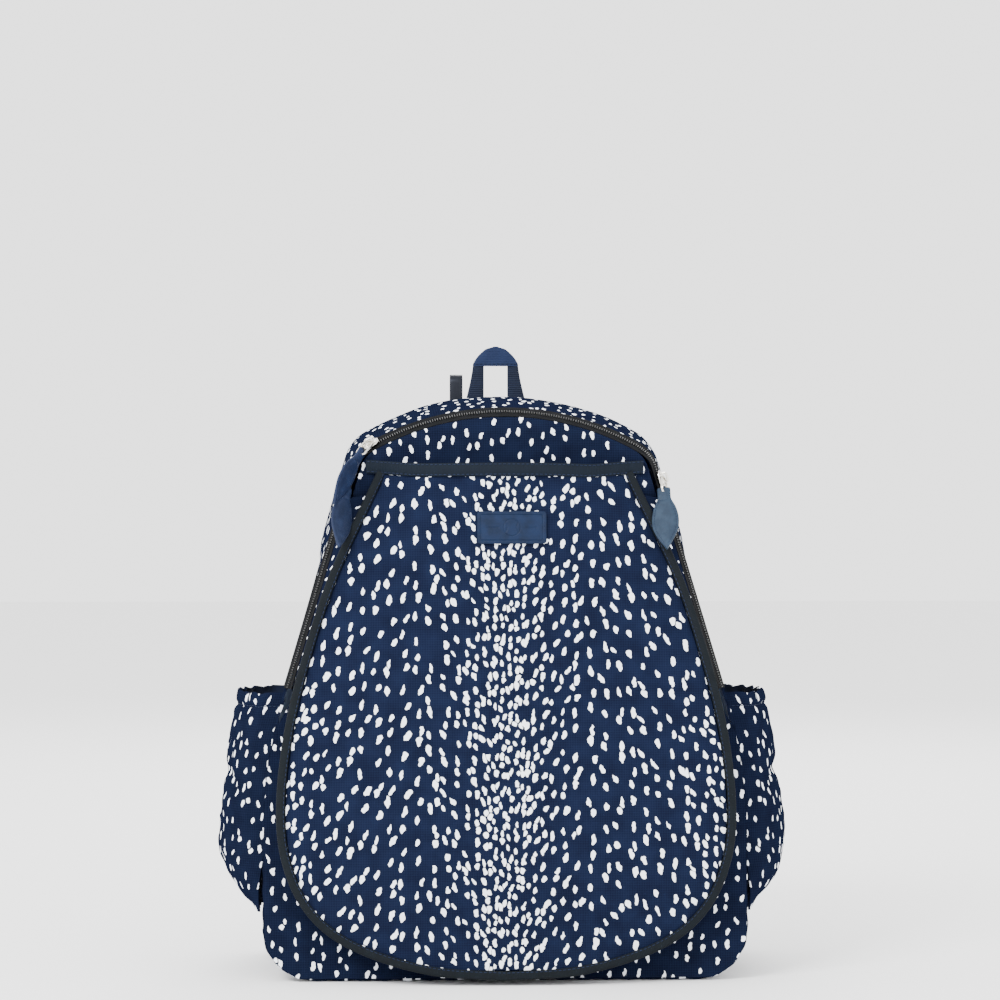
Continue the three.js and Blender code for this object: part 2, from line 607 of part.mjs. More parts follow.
// ---------------------------------------------------------------- side pockets
const reachCurve = new THREE.SplineCurve(POCKET_REACH.map(([z, x]) => new THREE.Vector2(z, x)));
const reachPoints = reachCurve.getSpacedPoints(80);
function pocketReach(z) {
  const i = THREE.MathUtils.clamp(reachPoints.findIndex((p) => p.x >= z), 1, 80);
  const [a, b] = [reachPoints[i - 1], reachPoints[i]];
  return lerp(a.y, b.y, THREE.MathUtils.clamp((z - a.x) / (b.x - a.x), 0, 1));
}

function pocketPoint(sign, u, z, inset) {
  const side = halfWidthAt(z / Math.cos(LEAN), 0);
  const swell = Math.max(pocketReach(z) - side - inset, 0);
  const round = Math.sin(Math.PI * u) ** 0.55;
  const frontY = FRONT_Y + z * Math.tan(LEAN) + 14;
  const y = lerp(frontY + inset, POCKET.back - inset, u);
  const crown = CROWN * Math.sin((Math.PI * (y - FRONT_Y)) / (BACK_Y - FRONT_Y));
  return V(sign * (side + crown + GAP + 0.6 + Math.max(swell - crown, 0) * round), y, z);
}

for (const [side, sign] of [["left", -1], ["right", 1]]) {
  const top = POCKET.top - POCKET.hem - GAP;
  const z = (v) => lerp(POCKET.bottom, top, v);
  const outer = (u, v) => pocketPoint(sign, u, z(v), 0);
  const inner = (u, v) => pocketPoint(sign, lerp(0.004, 0.996, u), z(v), POCKET.wall);
  piece(bag, `side_pocket_${side}`, patchSolid(outer, inner, 16, 12), SPOTTED);
  const hem = (inset) => (u, v) => pocketPoint(sign, u, POCKET.top - POCKET.hem + v * POCKET.hem, inset);
  piece(bag, `pocket_elastic_${side}`, patchSolid(hem(0), hem(POCKET.wall + 1), 16, 1), SPOTTED);
}

// ---------------------------------------------------------------- hang loop and fence hook
{
  const place = V(LOOP.x, backFace + GAP, 0);
  const foot = new THREE.Shape();
  foot.moveTo(-LOOP.foot, LOOP.bottom);
  foot.lineTo(-LOOP.foot, LOOP.hinge - 1);
  foot.lineTo(LOOP.foot, LOOP.hinge - 1);
  foot.lineTo(LOOP.foot, LOOP.bottom);
  piece(bag, "loop_foot", plate(foot, 0, LOOP.thick), WEB_NAVY, place);
  const loop = new THREE.Shape();
  loop.moveTo(-LOOP.foot + 1, LOOP.hinge + 1);
  loop.lineTo(-LOOP.shoulder, LOOP.windowTop - 1);
  loop.quadraticCurveTo(-LOOP.window, LOOP.top, 0, LOOP.top);
  loop.quadraticCurveTo(LOOP.window, LOOP.top, LOOP.shoulder, LOOP.windowTop - 1);
  loop.lineTo(LOOP.foot - 1, LOOP.hinge + 1);
  const hole = new THREE.Path();
  const [reach, low, high] = [LOOP.window, LOOP.hinge + 5, LOOP.windowTop];
  hole.moveTo(-reach, low);
  hole.lineTo(reach, low);
  hole.lineTo(reach, high);
  hole.lineTo(-reach, high);
  loop.holes.push(hole);
  piece(bag, "hang_loop", plate(loop, 0, LOOP.thick, 6), WEB_NAVY, place);
}

// Flat steel hook, its bend over the top and its lip to the back, held in a webbing sleeve.
{
  const [outer, inner] = [HOOK.bend, HOOK.bend - HOOK.thick];
  const shape = new THREE.Shape();
  shape.moveTo(-outer, -HOOK.shank);
  shape.lineTo(-outer, 0);
  shape.absarc(0, 0, outer, Math.PI, 0, true);
  shape.lineTo(outer, -HOOK.lip);
  shape.lineTo(inner, -HOOK.lip);
  shape.lineTo(inner, 0);
  shape.absarc(0, 0, inner, 0, Math.PI, false);
  shape.lineTo(-inner, -HOOK.shank);
  const hook = new THREE.ExtrudeGeometry(shape, { depth: HOOK.wide, bevelEnabled: false, curveSegments: 8 });
  // Shape x runs back, shape y runs up, and the depth runs across.
  hook.translate(0, 0, -HOOK.wide / 2).rotateX(Math.PI / 2).rotateZ(Math.PI / 2);
  const y = backFace + 2 * GAP + 1.2 + HOOK.bend;
  piece(bag, "fence_hook", hook, METAL, V(HOOK.x, y, HOOK.top - HOOK.bend));
  // The sleeve is a flat webbing tunnel, sewn to the back above and below.
  const outside = roundedShape(SLEEVE.wide, SLEEVE.deep, 1);
  const tunnel = roundedShape(HOOK.wide + 1, HOOK.thick + 0.8, 0.4);
  outside.holes.push(new THREE.Path(tunnel.getPoints(2)));
  const sleeve = new THREE.ExtrudeGeometry(outside, { depth: SLEEVE.high, bevelEnabled: false, curveSegments: 2 });
  piece(bag, "hook_sleeve", sleeve, WEB_NAVY, V(HOOK.x, backFace + GAP + SLEEVE.deep / 2, SLEEVE.bottom));
}

// ---------------------------------------------------------------- shoulder straps
for (const [side, sign] of [["left", -1], ["right", 1]]) {
  const start = backFace + LOOP.thick + 2 * GAP;
  const z = (v) => lerp(STRAP.top, STRAP.end, v);
  const x = (v) => sign * lerp(STRAP.x, STRAP.footX, v);
  const bow = (v) => Math.sin(Math.PI * Math.min(1, v * 1.02)) ** 0.8;
  const out = (v) => start + STRAP.belly * bow(v) + STRAP.flare * v;
  const wide = (v) => lerp(STRAP.wide, STRAP.endWide, smoothstep(v, 0.35, 1)) / 2;
  const surface = (thick) => (u, v) => V(x(v) + (2 * u - 1) * wide(v), out(v) + thick, z(v));
  piece(bag, `strap_pad_${side}`, patchSolid(surface(STRAP.thick), surface(0), 6, 20), SPOTTED);

  // Ladder-lock buckle under the pad's end, with slots for the two runs of webbing.
  const frame = roundedShape(BUCKLE.wide, BUCKLE.high, 3);
  const slotHigh = (BUCKLE.high - 3 * BUCKLE.bar) / 2;
  for (const way of [-1, 1]) {
    const slot = roundedShape(BUCKLE.slot, slotHigh, 1).getPoints(2);
    const lift = (way * (slotHigh + BUCKLE.bar)) / 2;
    frame.holes.push(new THREE.Path(slot.map((p) => p.add(new THREE.Vector2(0, lift)))));
  }
  const buckleY = start + BUCKLE.depth;
  const buckleZ = STRAP.end - GAP - 1 - BUCKLE.high / 2;
  const bucklePlace = V(sign * STRAP.footX, buckleY, buckleZ);
  piece(bag, `buckle_${side}`, plate(frame, 0, BUCKLE.thick, 2), PLASTIC, bucklePlace);

  // Webbing from the base corner up to the buckle, and its tail hanging behind.
  const tab = V(sign * WEBBING.tabX, backFace + GAP + 1, WEBBING.tabZ);
  const buckle = V(sign * STRAP.footX, buckleY - GAP - 1, buckleZ - WEBBING.lead);
  const run = buckle.clone().sub(tab);
  const across = V(0, 0, 0).crossVectors(run, V(0, 1, 0)).normalize().multiplyScalar(WEBBING.wide / 2);
  const rings = [];
  for (let i = 0; i <= 8; i++) {
    const p = tab.clone().addScaledVector(run, i / 8);
    const ring = [[-1, 0], [1, 0], [1, 1], [-1, 1]].map(([a, b]) => {
      return p.clone().addScaledVector(across, a).add(V(0, b * -WEBBING.thick + 0.8, 0));
    });
    rings.push(ring);
  }
  piece(bag, `strap_webbing_${side}`, ringSolid(rings), WEB_NAVY);
  const tail = new THREE.BoxGeometry(WEBBING.wide, WEBBING.thick, WEBBING.tail);
  const tailY = buckleY + BUCKLE.thick + GAP + 0.9;
  const tailZ = buckleZ + WEBBING.tailRise - WEBBING.tail / 2;
  piece(bag, `strap_tail_${side}`, tail, WEB_NAVY, V(sign * STRAP.footX, tailY, tailZ));
}

// The origin is under the middle of the whole bag.
const bounds = new THREE.Box3().setFromObject(bag, true);
bag.position.y = -(bounds.min.y + bounds.max.y) / 2;

export default bag;
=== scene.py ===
import math

import bmesh
import bpy
import numpy as np
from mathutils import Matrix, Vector


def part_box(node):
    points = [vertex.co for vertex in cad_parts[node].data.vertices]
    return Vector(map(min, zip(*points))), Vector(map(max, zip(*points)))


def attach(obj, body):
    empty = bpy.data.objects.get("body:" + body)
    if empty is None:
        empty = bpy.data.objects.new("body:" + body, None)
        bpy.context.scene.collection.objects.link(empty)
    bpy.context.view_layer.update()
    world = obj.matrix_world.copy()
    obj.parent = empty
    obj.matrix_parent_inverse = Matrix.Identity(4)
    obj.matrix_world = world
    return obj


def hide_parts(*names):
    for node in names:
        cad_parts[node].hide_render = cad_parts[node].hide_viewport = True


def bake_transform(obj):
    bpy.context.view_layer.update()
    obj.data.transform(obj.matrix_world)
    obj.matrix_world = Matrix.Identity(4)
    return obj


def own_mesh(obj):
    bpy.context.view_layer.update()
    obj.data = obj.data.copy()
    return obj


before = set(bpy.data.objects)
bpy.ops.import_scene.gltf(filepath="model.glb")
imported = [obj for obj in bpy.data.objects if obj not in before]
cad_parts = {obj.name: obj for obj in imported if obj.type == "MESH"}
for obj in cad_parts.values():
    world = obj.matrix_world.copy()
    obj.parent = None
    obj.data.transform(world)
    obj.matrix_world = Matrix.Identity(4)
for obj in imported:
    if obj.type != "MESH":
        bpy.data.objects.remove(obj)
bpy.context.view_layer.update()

# ------------------------------------------------------------------ sizes, as the frame has them
MM = 0.001
LEAN = math.radians(5.5)
FRONT_Y, BACK_Y = -72, 88
HEIGHT, HALF_WIDTH, CORNER = 426, 180, 38
TOP_RADIUS, TOP_TURN, SHOULDER_RADIUS, SIDE_TURN, LOWER_RADIUS = 208, 29, 30, 73.6, 360
BACK_RISE, CROWN, SIDE_PRESS = 9, 6, 42
PRESS_FULL, PRESS_FADE = 110, (215, 330)
ZIP_BAND, TOP_INSET, SIDE_INSET, TAPE = 13, 9.5, 6, 5
FOLD, MOUTH, MOUTH_BAND, MOUTH_RISE = 214, 370, 10, 5
FACE_DEPTH, EDGE_DEPTH, CORNER_DEPTH = 40, 26, 16
POCKET_LOW, POCKET_TOP, POCKET_BACK = 49, 210, 78
STRAP_X, STRAP_HEIGHT, STRAP_WIDE, STRAP_BELLY, STRAP_FLARE = (62, 78), (384, 178), (62, 40), 30, 6
BACK_FACE = 98.1
TEAR = [(0, 5), (56, 9), (110, 26), (143, 51), (161, 88), (165, 132), (158, 190), (142, 252), (124, 304), (97, 363)]
POCKET_REACH = [(49, 186), (60, 200), (75, 212), (93, 218), (112, 217), (143, 214), (173, 209.5), (210, 202)]
BOARD_MIDDLE = (FRONT_Y + BACK_Y) / 2
board_low, board_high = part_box("base_board")
SHIFT = (board_low.y + board_high.y) / 2 / MM - BOARD_MIDDLE  # the frame's origin is under the whole bag's middle


# ------------------------------------------------------------------ arithmetic
def lerp(a, b, t):
    return a + (b - a) * t


def smooth(x, low, high):
    t = np.clip((np.asarray(x, float) - low) / (high - low), 0, 1)
    return t * t * (3 - 2 * t)


def unit(v):
    return v / np.maximum(np.linalg.norm(v, axis=-1, keepdims=True), 1e-9)


def lengths(points):
    """How far along a path each of its points lies."""
    return np.concatenate([[0], np.cumsum(np.linalg.norm(np.diff(points, axis=0), axis=1))])


def noise(x, y, size, seed, octaves=2):
    """Smooth noise from -1 to 1 over a plane, with features of about `size`."""
    total, weight = 0, 0
    for octave in range(octaves):
        lattice = np.random.RandomState(seed + 17 * octave).rand(64, 64) * 2 - 1
        a, b = np.asarray(x) / size * 2**octave + 400, np.asarray(y) / size * 2**octave + 400
        i, j = np.floor(a).astype(int), np.floor(b).astype(int)
        s, t = smooth(a - i, 0, 1), smooth(b - j, 0, 1)
        at = lambda p, q: lattice[(i + p) % 64, (j + q) % 64]
        total = total + (lerp(lerp(at(0, 0), at(1, 0), s), lerp(at(0, 1), at(1, 1), s), t)) / 2**octave
        weight += 1 / 2**octave
    return total / weight


def spline(points, count):
    """Evenly spaced points and tangents along a uniform Catmull-Rom curve."""
    p = np.array(points, float)
    out = []
    for k in range(len(p) - 1):
        p0, p1, p2, p3 = p[max(k - 1, 0)], p[k], p[k + 1], p[min(k + 2, len(p) - 1)]
        t = np.linspace(0, 1, 60, endpoint=k == len(p) - 2)[:, None]
        v0, v1 = (p2 - p0) / 2, (p3 - p1) / 2
        out.append((2 * p1 - 2 * p2 + v0 + v1) * t**3 + (-3 * p1 + 3 * p2 - 2 * v0 - v1) * t**2 + v0 * t + p1)
    out = np.concatenate(out)
    length = lengths(out)
    at = np.linspace(0, length[-1], count)
    even = np.stack([np.interp(at, length, out[:, k]) for k in range(out.shape[1])], 1)
    return even, unit(np.gradient(even, axis=0))


# ------------------------------------------------------------------ the body's outline
def outline():
    """Right half from the top middle to the bottom middle: x, height, outward normal and share of the length."""
    pen, rows, ends = np.array([0.0, HEIGHT]), [], []

    def add(points, normals):
        rows.append(np.concatenate([points, normals], 1))
        ends.append(sum(len(r) for r in rows) - 1)

    def turn(radius, start, stop):
        angle = np.radians(np.linspace(start, stop, 240))
        normal = np.stack([np.sin(angle), np.cos(angle)], 1)
        centre = pen - radius * normal[0]
        add(centre + radius * normal, normal)
        pen[:] = rows[-1][-1, :2]

    def run(heading, length):
        angle = math.radians(heading)
        ahead, normal = np.array([math.cos(angle), -math.sin(angle)]), [math.sin(angle), math.cos(angle)]
        add(pen + np.linspace(0, length, 160)[:, None] * ahead, np.tile(normal, (160, 1)))
        pen[:] = rows[-1][-1, :2]

    turn(TOP_RADIUS, 0, TOP_TURN)
    turn(SHOULDER_RADIUS, TOP_TURN, SIDE_TURN)
    lower_reach = LOWER_RADIUS * (1 - math.sin(math.radians(SIDE_TURN)))
    run(SIDE_TURN, (HALF_WIDTH - pen[0] - lower_reach) / math.cos(math.radians(SIDE_TURN)))
    turn(LOWER_RADIUS, SIDE_TURN, 90)
    run(90, pen[1] - CORNER)
    turn(CORNER, 90, 180)
    run(180, pen[0])
    table = np.concatenate(rows)
    share = lengths(table[:, :2])
    return table, share / share[-1], share[-1], [share[e] / share[-1] for e in ends]


OUTLINE, SHARE, HALF_LENGTH, ENDS = outline()
TOP_END, SHOULDER_END, WALL_END = ENDS[0], ENDS[1], ENDS[4]
WALL = SHARE <= WALL_END


def edge(s):
    """x, height and outward normal at share s of the outline, negative on the left."""
    s = np.asarray(s, float)
    s = np.where(s > 1, s - 2, s)
    x, w, nx, nw = (np.interp(np.abs(s), SHARE, OUTLINE[:, k]) for k in range(4))
    side = np.where(s < 0, -1, 1)
    return side * x, w, side * nx, nw


def half_width(w, offset=0.0):
    x, height, nx, nw = (OUTLINE[WALL, k] for k in range(4))
    return np.interp(w, (height + nw * offset)[::-1], (x + nx * offset)[::-1])


def share_at(w):
    return np.interp(w, OUTLINE[WALL, 1][::-1], SHARE[WALL][::-1])


def place(x, y, z):
    """Points of the bag, before it was centred over the origin."""
    return np.stack(np.broadcast_arrays(x, np.asarray(y) + SHIFT, z), -1)


def on_front(x, y, w):
    """Points of the leaning front: y back from it, w up along it."""
    y, w = np.asarray(y, float), np.asarray(w, float)
    return place(x, FRONT_Y + y * math.cos(LEAN) + w * math.sin(LEAN), w * math.cos(LEAN) - y * math.sin(LEAN))


def rise(w):
    return BACK_RISE * smooth(w, 250, HEIGHT)


def press_at(w):
    """How far the loaded side pockets press the side panels in."""
    return SIDE_PRESS * smooth(w, POCKET_LOW, PRESS_FULL) * (1 - smooth(w, *PRESS_FADE))


def corner_cut(w):
    """How much the rounded lower corner takes off the half width."""
    return CORNER - np.sqrt(CORNER**2 - np.maximum(0, CORNER - w) ** 2)


def wall(s, v, inset):
    x, w, nx, nw = edge(s)
    flat = np.where(np.abs(s) > 1, 2 - np.abs(s), np.abs(s))
    loose = 1 - smooth(flat, WALL_END - 0.06, WALL_END)
    offset = CROWN * np.sin(np.pi * v) * loose - press_at(w) * np.sin(np.pi * v) ** 1.5 * np.abs(nx) - inset
    x, w = x + nx * offset, w + nw * offset
    return place(x, lerp(FRONT_Y + w * math.sin(LEAN), BACK_Y, v), w * math.cos(LEAN) + v * rise(w))


def band(s, t, h):
    """The zip's band: t across it from the body's edge, h out of it."""
    x, w, nx, nw = edge(s)
    inset = lerp(TOP_INSET, SIDE_INSET, smooth(np.abs(s), TOP_END, SHOULDER_END))
    length = np.hypot(inset, ZIP_BAND)
    offset = (ZIP_BAND * h - inset * t) / length
    return on_front(x + nx * offset, (-ZIP_BAND * t - inset * h) / length, w + nw * offset)


# ------------------------------------------------------------------ the racket pocket
TEAR_POINTS, TEAR_AHEAD = spline(TEAR, 600)


def tear_width(w):
    return np.interp(w, TEAR_POINTS[:, 1], TEAR_POINTS[:, 0])


def edge_depth(w):
    return lerp(EDGE_DEPTH, CORNER_DEPTH, smooth(w, 285, MOUTH))


def face_depth(x, w, reach):
    share = np.minimum(1, np.abs(x / reach))
    full = smooth(w, TEAR[0][1], 85)
    return edge_depth(w) + (FACE_DEPTH - edge_depth(w)) * (1 - share**2.4) * full


def mouth_at(x):
    return MOUTH + MOUTH_RISE * smooth(np.abs(x), 55, 112)


# ------------------------------------------------------------------ side pockets
REACH_POINTS, _ = spline(POCKET_REACH, 200)


def pocket_point(sign, u, z, out=0.0):
    side = half_width(z / math.cos(LEAN))
    swell = np.maximum(np.interp(z, REACH_POINTS[:, 0], REACH_POINTS[:, 1]) - side, 0)
    front = FRONT_Y + z * math.tan(LEAN) + 14
    y = lerp(front, POCKET_BACK, u)
    crown = CROWN * np.sin(np.pi * (y - FRONT_Y) / (BACK_Y - FRONT_Y))
    round_ = np.sin(np.pi * np.clip(u, 0, 1)) ** 0.55
    front_here = FRONT_Y + z * math.tan(LEAN)
    across = np.sin(np.pi * np.clip((y - front_here) / (BACK_Y - front_here), 0, 1))
    press = press_at(z) * across**1.5
    sewn = (1 - smooth(np.minimum(u, 1 - u), 0, 0.035)) * np.maximum(press - 1.2, 0)
    return place(sign * (side + crown + 0.9 + np.maximum(swell - crown, 0) * round_ + out - sewn), y, z)


def box_mm(node):
    """Low and high corner of a CAD node, in millimetres."""
    return [np.array(p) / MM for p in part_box(node)]


# ------------------------------------------------------------------ meshes
def new_object(name, vertices, faces, materials, face_material=None, uv=None, sharp=38):
    mesh = bpy.data.meshes.new(name)
    mesh.from_pydata((np.asarray(vertices) * MM).tolist(), [], [list(map(int, f)) for f in faces])
    for material in materials:
        mesh.materials.append(material)
    mesh.polygons.foreach_set("use_smooth", [True] * len(mesh.polygons))
    if face_material is not None:
        mesh.polygons.foreach_set("material_index", np.asarray(face_material, np.int32))
    if uv is not None:
        layer = mesh.uv_layers.new(name="print")
        loops = np.zeros(len(mesh.loops), np.int32)
        mesh.loops.foreach_get("vertex_index", loops)
        layer.data.foreach_set("uv", (np.asarray(uv, np.float32)[loops] * MM).ravel())
    mesh.set_sharp_from_angle(angle=math.radians(sharp))
    obj = bpy.data.objects.new(name, mesh)
    bpy.context.scene.collection.objects.link(obj)
    return obj


def normals_of(points):
    return unit(np.cross(np.gradient(points, axis=0), np.gradient(points, axis=1)))


def cloth(name, points, uv, thick, materials, outward):
    """A cloth panel from a grid of points on its outer face. outward is a point far out on that face's side."""
    nu, nv = points.shape[:2]
    normal = normals_of(points)
    middle = points[nu // 2, nv // 2]
    if np.dot(normal[nu // 2, nv // 2], np.asarray(outward, float) - middle) < 0:
        points, uv = points[::-1], uv[::-1]
        normal = normals_of(points)
    vertices = np.concatenate([points.reshape(-1, 3), (points - normal * thick).reshape(-1, 3)])
    index = np.arange(nu * nv).reshape(nu, nv)
    quads = np.stack([index[:-1, :-1], index[1:, :-1], index[1:, 1:], index[:-1, 1:]], -1).reshape(-1, 4)
    rim = np.concatenate([index[:, 0], index[-1, 1:], index[::-1, -1][1:], index[0, ::-1][1:]])
    rims = np.stack([rim[1:], rim[:-1], rim[:-1] + nu * nv, rim[1:] + nu * nv], 1)
    faces = np.concatenate([quads, quads[:, ::-1] + nu * nv, rims])
    which = [0] * len(quads) + [len(materials) - 1] * len(quads) + [0] * len(rims)
    flat = uv.reshape(-1, 2)
    return new_object(name, vertices, faces, materials, which, np.concatenate([flat, flat]))


def face_out(obj):
    """Turns every face of a closed body outwards."""
    made = bmesh.new()
    made.from_mesh(obj.data)
    bmesh.ops.recalc_face_normals(made, faces=made.faces)
    made.to_mesh(obj.data)
    made.free()
    return obj


def body_of_rings(name, rings, materials, uv=None, sharp=38, material_of=None):
    """A closed body through a row of rings with the same number of points each."""
    rings = np.asarray(rings, float)
    n, m = rings.shape[:2]
    index = np.arange(n * m).reshape(n, m)
    ahead = np.roll(index, -1, 1)
    quads = np.stack([index[:-1], ahead[:-1], ahead[1:], index[1:]], -1).reshape(-1, 4)
    faces = [list(q) for q in quads] + [list(index[0][::-1]), list(index[-1])]
    which = None
    if material_of is not None:
        which = [material_of(k % m) for k in range(len(quads))] + [0, 0]
    return face_out(new_object(name, rings.reshape(-1, 3), faces, materials, which, uv, sharp))


def rounded_section(half_width_, half_thick, count=20, power=3.0):
    """Points round a flat section with soft edges."""
    angle = np.linspace(0, 2 * np.pi, count, endpoint=False)
    c, s = np.cos(angle), np.sin(angle)
    c, s = np.sign(c) * np.abs(c) ** (2 / power), np.sign(s) * np.abs(s) ** (2 / power)
    return np.stack([half_width_ * c, half_thick * s], 1)


def sweep(name, centres, across, out, section, materials):
    """A body whose section, in (across, out), follows a path. Its uv is (along, round)."""
    centres = np.asarray(centres, float)
    section = np.asarray(section, float)
    if section.ndim == 2:
        section = np.repeat(section[None], len(centres), 0)
    rings = centres[:, None] + section[..., :1] * across[:, None] + section[..., 1:] * out[:, None]
    uv = np.stack(np.broadcast_arrays(lengths(centres)[:, None], lengths(section[0])[None]), -1).reshape(-1, 2)
    return body_of_rings(name, rings, materials, uv)


def rod_faces(base, rows, sides):
    """Faces of a small closed rod: rows of points round it, from vertex `base` on."""
    faces = []
    for i in range(rows - 1):
        for j in range(sides):
            a, b = base + i * sides + j, base + i * sides + (j + 1) % sides
            faces.append([a, b, b + sides, a + sides])
    faces.append([base + j for j in range(sides)][::-1])
    faces.append([base + (rows - 1) * sides + j for j in range(sides)])
    return faces


def stitches(name, path, out, material, pitch=3.4, length=2.4, radius=0.32, lift=0.12):
    """A row of thread stitches along a path, lying on a surface whose outward direction is `out`."""
    path = np.asarray(path, float)
    measure = lengths(path)
    middles = np.arange(pitch / 2, measure[-1], pitch)
    get = lambda values, at: np.stack([np.interp(at, measure, values[:, k]) for k in range(3)], 1)
    centre, ahead = get(path, middles), unit(get(path, middles + 0.6) - get(path, middles - 0.6))
    normal = unit(get(np.asarray(out, float), middles))
    side = unit(np.cross(ahead, normal))
    sides, rings = 6, [(-0.5, 0.25), (-0.36, 0.85), (0, 1), (0.36, 0.85), (0.5, 0.25)]
    angle = np.linspace(0, 2 * np.pi, sides, endpoint=False)
    vertices, faces = [], []
    for k in range(len(middles)):
        base = len(vertices)
        for t, r in rings:
            bow = lift * (1 - 4 * t * t)
            for a in angle:
                spread = radius * r * (math.cos(a) * side[k] + math.sin(a) * normal[k])
                vertices.append(centre[k] + ahead[k] * length * t + normal[k] * bow + spread)
        faces += rod_faces(base, len(rings), sides)
    return new_object(name, vertices, faces, [material])


def finished(obj, body=None, replaces=(), blend=None):
    """Says what a piece rides on and what it stands for; a blended piece is baked in place and rides on nothing."""
    if blend:
        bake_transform(obj)
    else:
        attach(obj, body)
    if replaces:
        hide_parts(*replaces)
    return obj


def bevelled(node, name, body, material, width):
    """A CAD node's shape with its sharp edges rounded."""
    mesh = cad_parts[node].data.copy()
    mesh.name = name
    obj = bpy.data.objects.new(name, mesh)
    bpy.context.scene.collection.objects.link(obj)
    made = bmesh.new()
    made.from_mesh(mesh)
    bmesh.ops.remove_doubles(made, verts=made.verts, dist=1e-6)
    bmesh.ops.dissolve_limit(made, angle_limit=math.radians(1), verts=made.verts, edges=made.edges)
    made.to_mesh(mesh)
    made.free()
    modifier = obj.modifiers.new("edges", "BEVEL")
    modifier.width = width * MM
    modifier.segments = 3
    modifier.limit_method = "ANGLE"
    modifier.angle_limit = math.radians(32)
    apply_modifiers(obj)
    obj.data.materials.clear()
    obj.data.materials.append(material)
    obj.data.polygons.foreach_set("use_smooth", [True] * len(obj.data.polygons))
    obj.data.set_sharp_from_angle(angle=math.radians(35))
    return finished(obj, body, [node])


def apply_modifiers(obj):
    bpy.context.view_layer.update()
    graph = bpy.context.evaluated_depsgraph_get()
    made = bpy.data.meshes.new_from_object(obj.evaluated_get(graph), preserve_all_data_layers=True, depsgraph=graph)
    obj.modifiers.clear()
    old = obj.data
    obj.data = made
    bpy.data.meshes.remove(old)


def inflate(obj, pressure, cap, frames=18):
    """Fills a padded piece by cloth simulation and keeps each point within `cap` of where it was."""
    before = np.array([v.co for v in obj.data.vertices], float)
    modifier = obj.modifiers.new("fill", "CLOTH")
    settings = modifier.settings
    settings.quality = 5
    settings.mass = 0.15
    settings.use_pressure = True
    settings.uniform_pressure_force = pressure
    settings.tension_stiffness = settings.compression_stiffness = 25
    settings.bending_stiffness = 1.5
    settings.effector_weights.gravity = 0
    modifier.collision_settings.use_self_collision = False
    scene = bpy.context.scene
    modifier.point_cache.frame_start, modifier.point_cache.frame_end = 1, frames
    for step in range(1, frames + 1):
        scene.frame_set(step)
    apply_modifiers(obj)
    scene.frame_set(1)
    after = np.array([v.co for v in obj.data.vertices], float)
    move = after - before
    length = np.linalg.norm(move, axis=1, keepdims=True)
    move *= np.minimum(1, cap * MM / np.maximum(length, 1e-9))
    obj.data.vertices.foreach_set("co", (before + move).ravel())
    obj.data.update()


# ------------------------------------------------------------------ materials
def rgb(r, g, b):
    return tuple(((c / 255 + 0.055) / 1.055) ** 2.4 if c > 10 else c / 255 / 12.92 for c in (r, g, b)) + (1,)


def dimmed(colour, share):
    return tuple(c * share for c in colour[:3]) + (1,)


class Graph:
    """A material's node graph, built up from short calls."""

    def __init__(self, name, **shader):
        self.material = bpy.data.materials.new(name)
        self.material.use_nodes = True
        self.tree = self.material.node_tree
        self.shader = self.tree.nodes["Principled BSDF"]
        for key, value in shader.items():
            self.shader.inputs[key.replace("_", " ")].default_value = value

    def add(self, kind, inputs=(), **settings):
        node = self.tree.nodes.new("ShaderNode" + kind)
        for key, value in settings.items():
            setattr(node, key, value)
        for key, value in dict(inputs).items():
            self.join(value, node.inputs[key])
        return node

    def join(self, value, socket):
        if isinstance(value, bpy.types.NodeSocket):
            self.tree.links.new(value, socket)
        else:
            socket.default_value = value

    def math(self, operation, a, b=0.0, c=0.0):
        return self.add("Math", {0: a, 1: b, 2: c}, operation=operation).outputs[0]

    def vector(self, operation, a, b):
        return self.add("VectorMath", {0: a, 1: b}, operation=operation).outputs[0]

    def parts(self, vector):
        return self.add("SeparateXYZ", {0: vector}).outputs

    def combine(self, x, y, z=0.0):
        return self.add("CombineXYZ", {0: x, 1: y, 2: z}).outputs[0]

    def ramp(self, value, low, high, to_low=0.0, to_high=1.0):
        inputs = {"Value": value, "From Min": low, "From Max": high, "To Min": to_low, "To Max": to_high}
        return self.add("MapRange", inputs, interpolation_type="SMOOTHSTEP").outputs[0]

    def noise(self, vector, scale, detail=3.0):
        return self.add("TexNoise", {"Vector": vector, "Scale": scale, "Detail": detail}).outputs["Fac"]

    def mix(self, factor, a, b):
        node = self.add("Mix", data_type="RGBA")
        for value, socket in ((factor, node.inputs[0]), (a, node.inputs[6]), (b, node.inputs[7])):
            self.join(value, socket)
        return node.outputs[2]

    def uv(self):
        return self.add("UVMap", uv_map="print").outputs[0]

    def place(self):
        return self.add("TexCoord").outputs["Object"]

    def bump(self, height, strength, distance):
        inputs = {"Height": height, "Strength": strength, "Distance": distance}
        if self.shader.inputs["Normal"].is_linked:
            inputs["Normal"] = self.shader.inputs["Normal"].links[0].from_socket
        self.join(self.add("Bump", inputs).outputs[0], self.shader.inputs["Normal"])

    def waves(self, x, pitch):
        """A ripple from 0 to 1 along x, one for each pitch."""
        angle = self.math("MULTIPLY", x, 2 * math.pi / pitch)
        return self.math("MULTIPLY_ADD", self.math("SINE", angle), 0.5, 0.5)

    def weave(self, vector, pitch, strength):
        """Threads over and under each other."""
        x, y, _ = self.parts(vector)
        over = self.math("MULTIPLY", self.waves(x, pitch), self.waves(y, pitch * 2))
        under = self.math("MULTIPLY", self.waves(y, pitch), self.waves(x, pitch * 2))
        threads = self.math("MAXIMUM", over, under)
        self.bump(threads, strength, 0.0002)
        return threads


